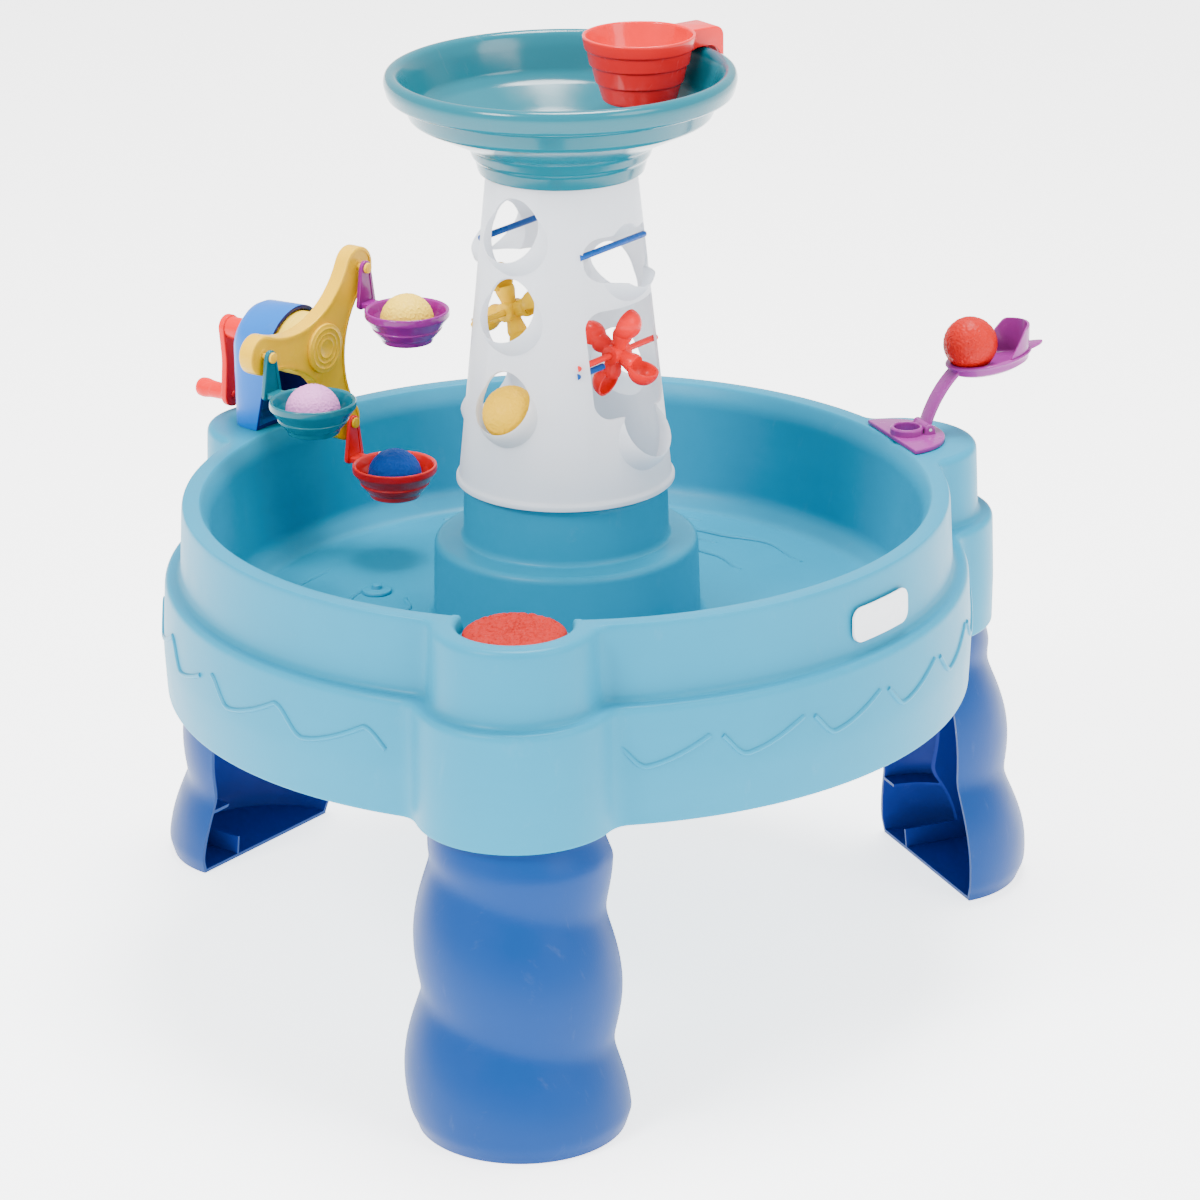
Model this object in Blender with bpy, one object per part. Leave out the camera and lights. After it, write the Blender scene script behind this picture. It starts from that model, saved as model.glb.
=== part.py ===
"""Round sand and water table with a ball tower, a ferris wheel of buckets and a ball flinger.

Metres, +Z up. The object stands on z = 0 with its bounding box centred on the origin.
Everything hangs on the empty `table_axis`, which stands on the axis of the round basin.
Three stations lie 120 degrees apart round that axis. In a station's own frame +X points
straight outwards, +Y runs round the table and +Z points up.
"""

import math

import bmesh
import bpy
from mathutils import Matrix, Vector

# ---- Driving dimensions ------------------------------------------------------------------

AXIS_X, AXIS_Y = -0.0008, 0.0488  # basin axis, set so that the bounding box is centred
GAP = 0.0003  # between pieces that touch
WALL = 0.004  # moulded wall of the basin and legs

STATION_AZIMUTH = {"front": 0.0, "right": 120.0, "left": 240.0}  # from -Y towards +X
LOBE_R = 0.3246  # radius on which the three lobes stand

RIM_Z = 0.425
PAN_R = 0.310
PAN_FLOOR_Z = 0.310
SKIRT_Z = 0.258
LEDGE_Z = 0.360
ISLAND_TOP_Z = 0.437
SHELF_Z = 0.409  # front lobe's shelf under the splash disc
SHELF_R = 0.0475
DISC_R, DISC_STUD_R = 0.0430, 0.0080  # splash disc and the stud under it
DRAIN_R, DRAIN_AT = 0.0095, (-0.1760, 0.0373)
PLATE_AZIMUTH, PLATE_MIDDLE_Z = 58.0, 0.3865  # blank plate on the body's upper wall
PLATE_HALF_WIDTH, PLATE_HALF_HEIGHT = 0.0380, 0.0150
ROUND_STEPS = 42
LOBE_STEPS = 18

LEG_TOP_Z = 0.3015
LEG_PITCH = 0.113  # height of one bulge
LEG_GROOVE_Z = 0.0932
LEG_GROOVE_TILT = 0.0208
LEG_SKIN = 0.0035
LEG_RIB_DEPTH = 0.012
LEG_LEVELS = (0, 0.018, 0.046, 0.074, 0.094, 0.122, 0.152, 0.182, 0.206, 0.234, 0.254)
LEG_ACROSS = 8  # facets round a leg
LEG_RIB_Z = (0.060, 0.130, 0.200)
BOSS_X = 0.352  # screw boss under each lobe
BOSS_R = 0.008
SCREW_R = 0.0022

TOWER_FOOT_Z = ISLAND_TOP_Z + GAP
TOWER_BASE_Z, TOWER_BASE_R = 0.450, 0.0915
TOWER_TOP_Z, TOWER_TOP_R = 0.724, 0.0632
TOWER_SKIN = 0.0025
POCKET_AZIMUTHS = (-30.0, 150.0)  # columns of round pockets
PADDLE_AZIMUTHS = (60.0, 240.0)  # columns with a spinner slot
POCKET_Z = (0.670, 0.602, 0.522)
PADDLE_POCKET_Z = (0.644, 0.496)
POCKET_R = 0.0270
BULGE_R = 0.0320
BULGE_IN = 0.012  # bulge centre, inwards from the wall
BULGE_DROP = 0.006
POCKET_TILT = math.radians(33)
SPINNER_R, SPINNER_Z = 0.0570, 0.5600  # red spinner's axle: distance from the axis, height
YELLOW_SPINNER_Z = 0.5780
PADDLE_REACH = 0.0295
PADDLE_CUP_R = 0.0135
PADDLE_WALL = 0.0022
PADDLE_TURN = 20.0  # degrees below straight outwards, at rest
SLOT_HALF_WIDTH = 0.0480
SLOT_HALF_HEIGHT = 0.0470
WINDOW_HALF_WIDTH, WINDOW_HALF_HEIGHT = 0.0440, 0.0190  # in front of the red side's upper rod
WINDOW_Z = 0.6500
SEAT_OUT, SEAT_DOWN = 0.75, 0.35  # gold ball's place in its pocket, in shares of the play round it
ROD_R = 0.0028
ROD_BORE_R = ROD_R + GAP
ROD_SHORT = 0.0006  # from a rod's end to the outside of the tower's wall
TOP_ROD_R, TOP_ROD_Z = 0.0530, 0.6540
PEG_R, PEG_DROP, PEG_END = 0.0570, 0.0068, 0.0200  # short peg below the red spinner's axle

FUNNEL_LIP_R, FUNNEL_Z = 0.1497, 0.800
CUP_R, CUP_Z, CUP_FLOOR_Z = 0.0485, 0.8175, 0.7600
CUP_SEAT_R, CUP_AZIMUTH = 0.0815, 131.9
CUP_WALL = 0.0022
CUP_STEPS = 24
HANDLE_HALF_WIDTH = 0.015
HANDLE_REACH = 0.0785  # outer face, from the cup's axis

BALL_R = 0.0245
BALL_SEAT = BALL_R + GAP

AXLE_Z = 0.505  # ferris wheel axle
PIN_CIRCLE_R = 0.082
WHEEL_FIRST_ARM = math.radians(39.3)  # from straight up, towards -Y of the station
WHEEL_FRONT_X, WHEEL_BACK_X = 0.2710, 0.2860
WHEEL_TIP_R = 0.0180
WHEEL_WEB = 0.030  # least distance from the axle to the outline
AXLE_R = 0.0040
PIN_R = 0.0030
HANGER_X = 0.2665  # hanger face next to the wheel
BUCKET_X = 0.2170
BUCKET_DROP = 0.030
BUCKET_RIM_R = 0.0385
BUCKET_STEPS = 20
BALL_DROP = 0.011  # ball centre below a bucket's rim
CRANK_R = 0.064
CRANK_X = 0.3815
CRANK_THICK = 0.0065
KNOB_REACH = 0.036
BRACKET_SCREW_X, BRACKET_SCREW_Y = 0.3420, 0.0180
BRACKET_BACK_X = 0.3570

PLATE_X, PLATE_Y, PLATE_R, PLATE_THICK = 0.3175, 0.0040, 0.0480, 0.0040
SOCKET_X, SOCKET_R = 0.3330, 0.0150
FLINGER_PIVOT = (0.3500, 0.4335)  # x, z of the arm's hinge line
HINGE_PIN_R = 0.0015
SPOON_X, SPOON_Z, SPOON_TILT = 0.4155, 0.4800, math.radians(8)
SPOON_HALF = (0.0400, 0.0280)

SKY = (0.17, 0.48, 0.64)
LEG_BLUE = (0.0, 0.18, 0.55)
TEAL = (0.0, 0.35, 0.48)
RED = (0.75, 0.03, 0.03)
GOLD = (0.82, 0.52, 0.03)
ORCHID = (0.51, 0.19, 0.54)
PURPLE = (0.38, 0.03, 0.35)
ROD_BLUE = (0.0, 0.11, 0.43)
BRACKET_BLUE = (0.03, 0.26, 0.75)
PALE_GOLD = (0.90, 0.68, 0.12)
PINK = (0.75, 0.35, 0.68)
BALL_BLUE = (0.01, 0.16, 0.62)
CORAL = (0.95, 0.06, 0.03)
TRANSLUCENT = (0.73, 0.74, 0.79)


# ---- Making meshes -----------------------------------------------------------------------


def clear_scene():
    for thing in list(bpy.data.objects):
        bpy.data.objects.remove(thing, do_unlink=True)


def empty(name, parent=None, location=(0, 0, 0), turn=0.0):
    thing = bpy.data.objects.new(name, None)
    bpy.context.collection.objects.link(thing)
    thing.parent = parent
    thing.location = location
    thing.rotation_euler = (0, 0, turn)
    return thing


def plastic(name, colour, roughness=0.35, alpha=1.0):
    material = bpy.data.materials.new(name)
    material.use_nodes = True
    shader = material.node_tree.nodes["Principled BSDF"]
    shader.inputs["Base Color"].default_value = (*colour, 1.0)
    shader.inputs["Roughness"].default_value = roughness
    shader.inputs["Metallic"].default_value = 0.0
    shader.inputs["Alpha"].default_value = alpha
    return material


def steel(name):
    material = plastic(name, (0.60, 0.61, 0.63), 0.30)
    material.node_tree.nodes["Principled BSDF"].inputs["Metallic"].default_value = 1.0
    return material


def to_object(bm, name, place=None):
    """A mesh object holding bm, moved by the matrix `place`, with its faces pointing outwards."""
    if place is not None:
        bmesh.ops.transform(bm, matrix=place, verts=bm.verts)
    bmesh.ops.recalc_face_normals(bm, faces=bm.faces)
    mesh = bpy.data.meshes.new(name)
    bm.to_mesh(mesh)
    bm.free()
    thing = bpy.data.objects.new(name, mesh)
    bpy.context.collection.objects.link(thing)
    return thing


def turned(name, section, steps, place=None):
    """Solid made by turning (radius, height) points round Z: a ring where no point is on the axis."""
    bm = bmesh.new()
    corners = [bm.verts.new((radius, 0, height)) for radius, height in section]
    pairs = list(zip(corners, corners[1:]))
    if section[0][0] > 0:
        pairs.append((corners[-1], corners[0]))
    edges = [bm.edges.new(pair) for pair in pairs]
    full_turn = 2 * math.pi
    bmesh.ops.spin(
        bm, geom=corners + edges, cent=(0, 0, 0), axis=(0, 0, 1), angle=full_turn, steps=steps, use_merge=True
    )
    bmesh.ops.remove_doubles(bm, verts=bm.verts, dist=1e-5)
    return to_object(bm, name, place)


def prism(name, outline, low, high, place=None):
    """Solid made by extruding a closed (x, y) outline from height `low` to `high`."""
    bm = bmesh.new()
    face = bm.faces.new([bm.verts.new((x, y, low)) for x, y in outline])
    grown = bmesh.ops.extrude_face_region(bm, geom=[face])["geom"]
    tops = [item for item in grown if isinstance(item, bmesh.types.BMVert)]
    bmesh.ops.translate(bm, verts=tops, vec=(0, 0, high - low))
    return to_object(bm, name, place)


def box(name, low, high, place=None):
    bm = bmesh.new()
    size = [b - a for a, b in zip(low, high)]
    middle = [(a + b) / 2 for a, b in zip(low, high)]
    bmesh.ops.create_cube(bm, size=1, matrix=Matrix.Translation(middle) @ Matrix.Diagonal((*size, 1)))
    return to_object(bm, name, place)


def rod(name, radius, low, high, steps=16, place=None):
    return turned(name, [(0, high), (radius, high), (radius, low), (0, low)], steps, place)


def ellipsoid(name, radii, place=None, rings=7, steps=10):
    bm = bmesh.new()
    scale = Matrix.Diagonal((*radii, 1))
    bmesh.ops.create_uvsphere(bm, u_segments=steps, v_segments=rings, radius=1, matrix=scale)
    return to_object(bm, name, place)


def apply_modifiers(thing):
    bpy.context.view_layer.update()
    graph = bpy.context.evaluated_depsgraph_get()
    mesh = bpy.data.meshes.new_from_object(thing.evaluated_get(graph))
    used = thing.data
    thing.modifiers.clear()
    thing.data = mesh
    bpy.data.meshes.remove(used)


def closed(mesh):
    bm = bmesh.new()
    bm.from_mesh(mesh)
    whole = bool(bm.faces) and all(edge.is_manifold for edge in bm.edges)
    bm.free()
    return whole


def combine(thing, operation, *tools):
    """Boolean `tools` into `thing` one after the other, and remove the tools.

    The exact solver leaves open edges where faces lie in one plane, so the manifold solver
    takes over there.
    """
    for tool in tools:
        before = thing.data.copy()
        for solver in ("EXACT", "MANIFOLD"):
            thing.data = before.copy()
            modifier = thing.modifiers.new("shape", "BOOLEAN")
            modifier.operation = operation
            modifier.solver = solver
            modifier.object = tool
            apply_modifiers(thing)
            if closed(thing.data):
                break
        bpy.data.meshes.remove(before)
        used = tool.data
        bpy.data.objects.remove(tool)
        bpy.data.meshes.remove(used)
    return thing


def add(thing, *tools):
    return combine(thing, "UNION", *tools)


def cut(thing, *tools):
    return combine(thing, "DIFFERENCE", *tools)


def keep(thing, *tools):
    return combine(thing, "INTERSECT", *tools)


def finish(thing, material, parent, location=(0, 0, 0), smooth=math.radians(35)):
    """Give a finished solid its material and shading, and hang it on its parent."""
    thing.data.materials.clear()
    thing.data.materials.append(material)
    thing.data.shade_smooth()
    thing.data.set_sharp_from_angle(angle=smooth)
    thing.parent = parent
    thing.location = location
    return thing


def arc(centre, radius, start, end, count):
    """Points on a circle from angle `start` to `end`, both in radians."""
    cx, cy = centre
    angles = [start + (end - start) * step / count for step in range(count + 1)]
    return [(cx + radius * math.cos(angle), cy + radius * math.sin(angle)) for angle in angles]


ALONG_X = Matrix(((0, 0, 1, 0), (1, 0, 0, 0), (0, 1, 0, 0), (0, 0, 0, 1)))  # X, Y and Z become Y, Z and X
SIDEWAYS = Matrix(((1, 0, 0, 0), (0, 0, -1, 0), (0, 1, 0, 0), (0, 0, 0, 1)))  # Y becomes Z, and Z becomes -Y


def at(x, y=0.0, z=0.0):
    return Matrix.Translation((x, y, z))


def about_z(degrees):
    return Matrix.Rotation(math.radians(degrees), 4, "Z")


def facing(azimuth):
    """Turn that lays +X along an azimuth measured from -Y towards +X."""
    return about_z(azimuth - 90)


# ---- Basin -------------------------------------------------------------------------------


def pan_section(grow=0.0):
    """Outline of the pan's hollow, grown outwards by `grow`, from its floor to above the rim."""
    return [
        (0, RIM_Z + 0.03),
        (PAN_R + 0.012 + grow, RIM_Z + 0.03),
        (PAN_R + 0.012 + grow, RIM_Z),
        (PAN_R + 0.006 + grow, RIM_Z - 0.0015),
        (PAN_R + 0.002 + grow, RIM_Z - 0.006),
        (PAN_R + grow, RIM_Z - 0.014),
        (PAN_R - 0.009 + grow, PAN_FLOOR_Z + 0.016),
        (PAN_R - 0.013 + grow, PAN_FLOOR_Z + 0.005),
        (PAN_R - 0.022 + grow, PAN_FLOOR_Z - grow),
        (0, PAN_FLOOR_Z - grow),
    ]


def body_section():
    """Outline of the round body."""
    return [
        (0, RIM_Z),
        (0.3270, RIM_Z),
        (0.3325, RIM_Z - 0.0055),
        (0.3345, RIM_Z - 0.015),
        (0.3365, LEDGE_Z + 0.004),
        (0.3405, LEDGE_Z),
        (0.3480, LEDGE_Z - 0.004),
        (0.3515, LEDGE_Z - 0.014),
        (0.3540, 0.300),
        (0.3520, SKIRT_Z),
        (0, SKIRT_Z),
    ]


def body_hollow_section(foot):
    """The round body's underside, a wall's thickness inside its outline."""
    return [
        (0, RIM_Z - WALL),
        (0.3260, RIM_Z - WALL),
        (0.3305, RIM_Z - 0.015),
        (0.3325, LEDGE_Z - WALL),
        (0.3460, LEDGE_Z - 0.008),
        (0.3500, 0.300),
        (0.3480, foot),
        (0, foot),
    ]


def lobe_section(foot=SKIRT_Z - 0.002):
    """Outline of one lobe round its own axis."""
    return [
        (0, RIM_Z),
        (0.0600, RIM_Z),
        (0.0665, RIM_Z - 0.0055),
        (0.0690, RIM_Z - 0.015),
        (0.0710, LEDGE_Z + 0.010),
        (0.0750, LEDGE_Z + 0.005),
        (0.0815, LEDGE_Z + 0.001),
        (0.0845, LEDGE_Z - 0.010),
        (0.0850, foot),
        (0, foot),
    ]


def lobe_hollow_section(foot):
    """A lobe's underside, a wall's thickness inside its outline."""
    return [
        (0, RIM_Z - WALL - 0.0002),
        (0.0610, RIM_Z - WALL - 0.0002),
        (0.0665, LEDGE_Z + 0.006),
        (0.0800, LEDGE_Z - 0.006),
        (0.0810, foot),
        (0, foot),
    ]


def island_section(foot=PAN_FLOOR_Z - 0.002):
    """Outline of the stepped island that carries the tower."""
    return [
        (0, ISLAND_TOP_Z),
        (0.0860, ISLAND_TOP_Z),
        (0.0884, ISLAND_TOP_Z - 0.004),
        (0.0900, 0.3880),
        (0.0930, 0.3850),
        (0.1110, 0.3850),
        (0.1145, 0.3810),
        (0.1170, 0.3160),
        (0.1230, foot),
        (0, foot),
    ]


def island_hollow_section(foot):
    """The island's underside, a wall's thickness inside its outline."""
    return [
        (0, ISLAND_TOP_Z - WALL),
        (0.0845, ISLAND_TOP_Z - WALL),
        (0.0860, 0.3810),
        (0.1100, 0.3810),
        (0.1130, foot),
        (0, foot),
    ]


def lobe_places():
    return [facing(azimuth) @ at(LOBE_R) for azimuth in STATION_AZIMUTH.values()]


def make_basin(material, parent):
    basin = turned("basin", body_section(), ROUND_STEPS)
    hollow = turned("hollow", body_hollow_section(SKIRT_Z - 0.010), ROUND_STEPS)
    lobe_hollows = []
    for place in lobe_places():
        add(basin, turned("lobe", lobe_section(), LOBE_STEPS, place))
        lobe_hollows.append(turned("lobe_hollow", lobe_hollow_section(SKIRT_Z - 0.012), LOBE_STEPS, place))
    add(hollow, *lobe_hollows)
    cut(basin, turned("pan", pan_section(), ROUND_STEPS))
    cut(hollow, turned("pan_wall", pan_section(WALL), ROUND_STEPS))

    front = facing(STATION_AZIMUTH["front"]) @ at(LOBE_R)
    add(basin, turned("island", island_section(), ROUND_STEPS))
    add(basin, rod("pedestal", SHELF_R, PAN_FLOOR_Z - 0.002, SHELF_Z, LOBE_STEPS, front))
    cut(basin, rod("notch", SHELF_R, SHELF_Z, RIM_Z + 0.02, LOBE_STEPS, front))
    cut(hollow, rod("shelf", SHELF_R + WALL, SHELF_Z - WALL, RIM_Z + 0.02, LOBE_STEPS, front))
    add(hollow, rod("pedestal_hollow", SHELF_R - WALL, SKIRT_Z - 0.008, SHELF_Z - WALL, LOBE_STEPS, front))
    add(hollow, turned("island_hollow", island_hollow_section(SKIRT_Z - 0.009), ROUND_STEPS))
    cut(basin, hollow)

    for name, azimuth in STATION_AZIMUTH.items():
        boss_place = facing(azimuth) @ at(BOSS_X)
        roof = SHELF_Z if name == "front" else RIM_Z
        add(basin, rod("boss", BOSS_R, LEG_TOP_Z + GAP, roof - WALL / 2, 12, boss_place))
        cut(basin, rod("bore", SCREW_R + GAP, LEG_TOP_Z - 0.01, LEG_TOP_Z + 0.022, 10, boss_place))
    cut(basin, rod("disc_socket", DISC_STUD_R + GAP, SHELF_Z - 0.02, SHELF_Z + 0.02, 12, front))
    cut(basin, rod("drain_hole", DRAIN_R + GAP, PAN_FLOOR_Z - 0.02, PAN_FLOOR_Z + 0.02, 16, at(*DRAIN_AT)))
    return finish(basin, material, parent)


def make_splash_disc(material, parent):
    """Round textured disc that lifts out of its socket on the front lobe's shelf."""
    base = SHELF_Z + GAP
    section = [
        (0, base + 0.0105),
        (DISC_R - 0.006, base + 0.0100),
        (DISC_R - 0.0015, base + 0.0075),
        (DISC_R, base + 0.0040),
        (DISC_R - 0.0010, base),
        (DISC_STUD_R, base),
        (DISC_STUD_R - 0.0010, base - 0.014),
        (0, base - 0.014),
    ]
    disc = turned("splash_disc", section, 32)
    return finish(disc, material, parent, (LOBE_R, 0, 0))


def make_drain_plug(material, parent):
    base = PAN_FLOOR_Z + GAP
    section = [
        (0, base + 0.0070),
        (0.0040, base + 0.0070),
        (0.0050, base + 0.0030),
        (0.0130, base + 0.0028),
        (0.0140, base),
        (DRAIN_R, base),
        (DRAIN_R - 0.0012, base - 0.012),
        (0, base - 0.012),
    ]
    plug = turned("drain_plug", section, 20)
    return finish(plug, material, parent, (*DRAIN_AT, 0))


def make_name_plate(material, parent):
    """Blank curved plate on the right of the body's upper wall."""
    inner = 0.3372 + GAP
    section = [(inner, 0.4040), (inner + 0.0016, 0.4040), (inner + 0.0026, 0.3690), (inner, 0.3690)]
    plate = turned("blank_plate", section, 72)
    outline = rounded_rectangle(PLATE_HALF_WIDTH, PLATE_HALF_HEIGHT, 0.010, 5)
    place = facing(PLATE_AZIMUTH) @ at(0, 0, PLATE_MIDDLE_Z) @ ALONG_X
    keep(plate, prism("window", outline, 0.30, 0.40, place))
    return finish(plate, material, parent)


def rounded_rectangle(half_width, half_height, radius, count):
    points = []
    for quarter, (sx, sy) in enumerate(((1, 1), (-1, 1), (-1, -1), (1, -1))):
        centre = (sx * (half_width - radius), sy * (half_height - radius))
        points += arc(centre, radius, quarter * math.pi / 2, (quarter + 1) * math.pi / 2, count)
    return points


# ---- Legs --------------------------------------------------------------------------------


def leg_size(height, side):
    """Half width and depth of a leg at a height, `side` running from -1 to 1 across it."""
    spread = max(0.0, 1 - height / 0.245)
    half_width = 0.0800 + 0.0175 * spread
    depth = 0.0760 + 0.0190 * spread
    groove = LEG_GROOVE_Z - LEG_GROOVE_TILT * side
    bulge = 0.86 + 0.14 * abs(math.sin(math.pi * (height - groove) / LEG_PITCH)) ** 0.7
    foot = 0.955 + 0.045 * min(1.0, height / 0.014)
    fade = min(1.0, max(0.0, (0.254 - height) / 0.022))  # 1 below the lobe, 0 inside it
    factor = fade * bulge * foot + (1 - fade) * 0.90
    return half_width * factor, depth * factor


def leg_solid(name, shrink, low=0.0, high=LEG_TOP_Z):
    """Half-round column, open side towards -X, its surface drawn in by `shrink`."""
    bm = bmesh.new()
    levels = [low, *[level for level in LEG_LEVELS if low < level < high], high]
    loops = []
    for level in levels:
        flat_x = 0.360 - 0.100 * min(level, 0.256) - 0.02 * (shrink > 0)
        loop = []
        for step in range(LEG_ACROSS + 1):
            angle = -math.pi / 2 + math.pi * step / LEG_ACROSS
            half_width, depth = leg_size(level, math.sin(angle))
            front = 0.360 - 0.100 * min(level, 0.256)
            x = front + (depth - shrink) * math.cos(angle)
            loop.append((x, (half_width - shrink) * math.sin(angle), level))
        loop.append((flat_x, (half_width - shrink), level))
        loop.append((flat_x, -(half_width - shrink), level))
        if shrink == 0:
            loop = loop[: LEG_ACROSS + 1]
        verts = [bm.verts.new(point) for point in loop]
        loops.append([bm.edges.new((verts[i - 1], verts[i])) for i in range(len(verts))])
    for lower, upper in zip(loops, loops[1:]):
        bmesh.ops.bridge_loops(bm, edges=lower + upper)
    bmesh.ops.holes_fill(bm, edges=loops[0] + loops[-1], sides=0)
    return to_object(bm, name)


def make_leg(name, material, parent):
    leg = leg_solid(name, 0.0)
    ribs = leg_solid("ribs", LEG_SKIN / 2)
    keep(ribs, leg_solid("rib_limit", 0.0))
    cut(leg, leg_solid("leg_hollow", LEG_SKIN, LEG_SKIN, LEG_TOP_Z - LEG_SKIN))
    sheets = [box("sheet", (0.30, -0.12, z - 0.0015), (0.47, 0.12, z + 0.0015)) for z in LEG_RIB_Z]
    keep(ribs, add(sheets[0], *sheets[1:]))
    cut(ribs, leg_solid("rib_core", LEG_SKIN + LEG_RIB_DEPTH, -0.01, LEG_TOP_Z + 0.01))
    add(leg, ribs)
    cut(leg, rod("screw_hole", SCREW_R + GAP, LEG_TOP_Z - 0.02, LEG_TOP_Z + 0.01, 10, at(BOSS_X)))
    return finish(leg, material, parent)


def make_leg_screw(name, material, parent):
    """Pan-head screw driven upwards through the leg's top plate into the boss under the lobe."""
    seat = LEG_TOP_Z - LEG_SKIN - GAP
    section = [
        (0, LEG_TOP_Z + 0.020),
        (SCREW_R * 0.7, LEG_TOP_Z + 0.020),
        (SCREW_R, LEG_TOP_Z + 0.017),
        (SCREW_R, seat),
        (0.0045, seat),
        (0.0040, seat - 0.0025),
        (0, seat - 0.0032),
    ]
    return finish(turned(name, section, 10), material, parent, (BOSS_X, 0, 0))


# ---- Tower -------------------------------------------------------------------------------


def tower_radius(height):
    """Outer radius of the conical wall."""
    share = (TOWER_TOP_Z - height) / (TOWER_TOP_Z - TOWER_BASE_Z)
    return TOWER_TOP_R + (TOWER_BASE_R - TOWER_TOP_R) * share


def pockets():
    """(azimuth, height) of every round pocket in the tower."""
    found = [(azimuth, height) for azimuth in POCKET_AZIMUTHS for height in POCKET_Z]
    return found + [(azimuth, height) for azimuth in PADDLE_AZIMUTHS for height in PADDLE_POCKET_Z]


def make_tower(material, parent):
    foot_r = 0.0950
    outer = [
        (0, TOWER_TOP_Z),
        (TOWER_TOP_R, TOWER_TOP_Z),
        (TOWER_BASE_R, TOWER_BASE_Z),
        (TOWER_BASE_R + 0.0008, TOWER_FOOT_Z + 0.006),
        (foot_r, TOWER_FOOT_Z + 0.004),
        (foot_r, TOWER_FOOT_Z),
        (0, TOWER_FOOT_Z),
    ]
    inner = [
        (0, TOWER_TOP_Z + 0.01),
        (TOWER_TOP_R - TOWER_SKIN - 0.001, TOWER_TOP_Z + 0.01),
        (TOWER_BASE_R - TOWER_SKIN, TOWER_BASE_Z),
        (TOWER_BASE_R - TOWER_SKIN, TOWER_FOOT_Z - 0.01),
        (0, TOWER_FOOT_Z - 0.01),
    ]
    tower = turned("tower_shell", outer, 36)
    hollow = turned("tower_hollow", inner, 36)
    mouths = []
    for azimuth, height in pockets():
        wall = tower_radius(height)
        seat = facing(azimuth) @ at(wall - BULGE_IN, 0, height - BULGE_DROP)
        add(tower, ellipsoid("bulge", (BULGE_R,) * 3, seat))
        bulge_inside = BULGE_R - TOWER_SKIN
        add(hollow, ellipsoid("bulge_hollow", (bulge_inside,) * 3, seat))
        tilt = Matrix.Rotation(-POCKET_TILT, 4, "Y")
        mouth = facing(azimuth) @ at(wall, 0, height + 0.002) @ tilt @ ALONG_X
        mouths.append(rod("mouth", POCKET_R, -0.010, 0.060, 16, mouth))
    cut(tower, hollow)
    cut(tower, *mouths)
    window = rounded_rectangle(WINDOW_HALF_WIDTH, WINDOW_HALF_HEIGHT, 0.015, 4)
    window_place = facing(PADDLE_AZIMUTHS[0]) @ at(0, 0, WINDOW_Z) @ ALONG_X
    cut(tower, prism("rod_window", window, 0.045, 0.14, window_place))
    for azimuth, middle in zip(PADDLE_AZIMUTHS, (SPINNER_Z, YELLOW_SPINNER_Z)):
        outline = rounded_rectangle(SLOT_HALF_WIDTH, SLOT_HALF_HEIGHT, 0.015, 4)
        slot = prism("slot", outline, 0.045, 0.14, facing(azimuth) @ at(0, 0, middle) @ ALONG_X)
        cut(tower, slot)
        for reach, height in ((SPINNER_R, middle), (TOP_ROD_R, TOP_ROD_Z)):
            place = facing(azimuth) @ at(reach, 0, height) @ SIDEWAYS
            cut(tower, rod("rod_hole", ROD_BORE_R, -0.12, 0.12, 10, place))
    peg_place = facing(PADDLE_AZIMUTHS[0]) @ at(PEG_R, 0, SPINNER_Z - PEG_DROP) @ SIDEWAYS
    cut(tower, rod("peg_hole", ROD_BORE_R, PEG_END, 0.12, 10, peg_place))
    return finish(tower, material, parent)


def chord_rod(name, reach, height, azimuth, material, parent):
    """Straight rod across the tower, `reach` from its axis, its ends standing out of the wall."""
    half = math.sqrt(tower_radius(height) ** 2 - reach**2) - ROD_SHORT
    bar = rod(name, ROD_R, -half, half, 10, SIDEWAYS)
    finish(bar, material, parent)
    bar.location = facing(azimuth) @ Vector((reach, 0, height))
    bar.rotation_euler = (0, 0, math.radians(azimuth - 90))
    return bar


def make_peg(material, parent):
    """Short peg in the tower's wall, just below the red spinner's axle."""
    end = math.sqrt(tower_radius(SPINNER_Z) ** 2 - PEG_R**2) - ROD_SHORT
    peg = rod("axle_peg", ROD_R, PEG_END, end, 10, SIDEWAYS)
    finish(peg, material, parent)
    azimuth = PADDLE_AZIMUTHS[0]
    peg.location = facing(azimuth) @ Vector((PEG_R, 0, SPINNER_Z - PEG_DROP))
    peg.rotation_euler = (0, 0, math.radians(azimuth - 90))
    return peg


def make_spinner(name, height, azimuth, material, parent):
    """Four hemispherical scoops round a hub, turning on a rod. Its origin is on the rod's axis."""
    spinner = rod(name, 0.0085, -0.011, 0.011, 16, SIDEWAYS)
    for quarter in range(4):
        turn = Matrix.Rotation(math.radians(90 * quarter + PADDLE_TURN), 4, "Y")
        spoke_end = PADDLE_REACH - PADDLE_CUP_R + 0.003
        add(spinner, box("spoke", (0.004, -0.0045, -0.0018), (spoke_end, 0.0045, 0.0018), turn))
        scoop = ellipsoid("scoop", (PADDLE_CUP_R,) * 3, rings=6, steps=8)
        cut(scoop, ellipsoid("scoop_hollow", (PADDLE_CUP_R - PADDLE_WALL,) * 3, rings=6, steps=8))
        cut(scoop, box("scoop_mouth", (-0.02, -0.02, 0.0012), (0.02, 0.02, 0.02)))
        scoop.data.transform(turn @ at(PADDLE_REACH))
        add(spinner, scoop)
    cut(spinner, rod("bore", ROD_BORE_R, -0.02, 0.02, 12, SIDEWAYS))
    finish(spinner, material, parent)
    spinner.location = facing(azimuth) @ Vector((SPINNER_R, 0, height))
    spinner.rotation_euler = (0, 0, math.radians(azimuth - 90))
    return spinner


# ---- Funnel and cup ----------------------------------------------------------------------


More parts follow.
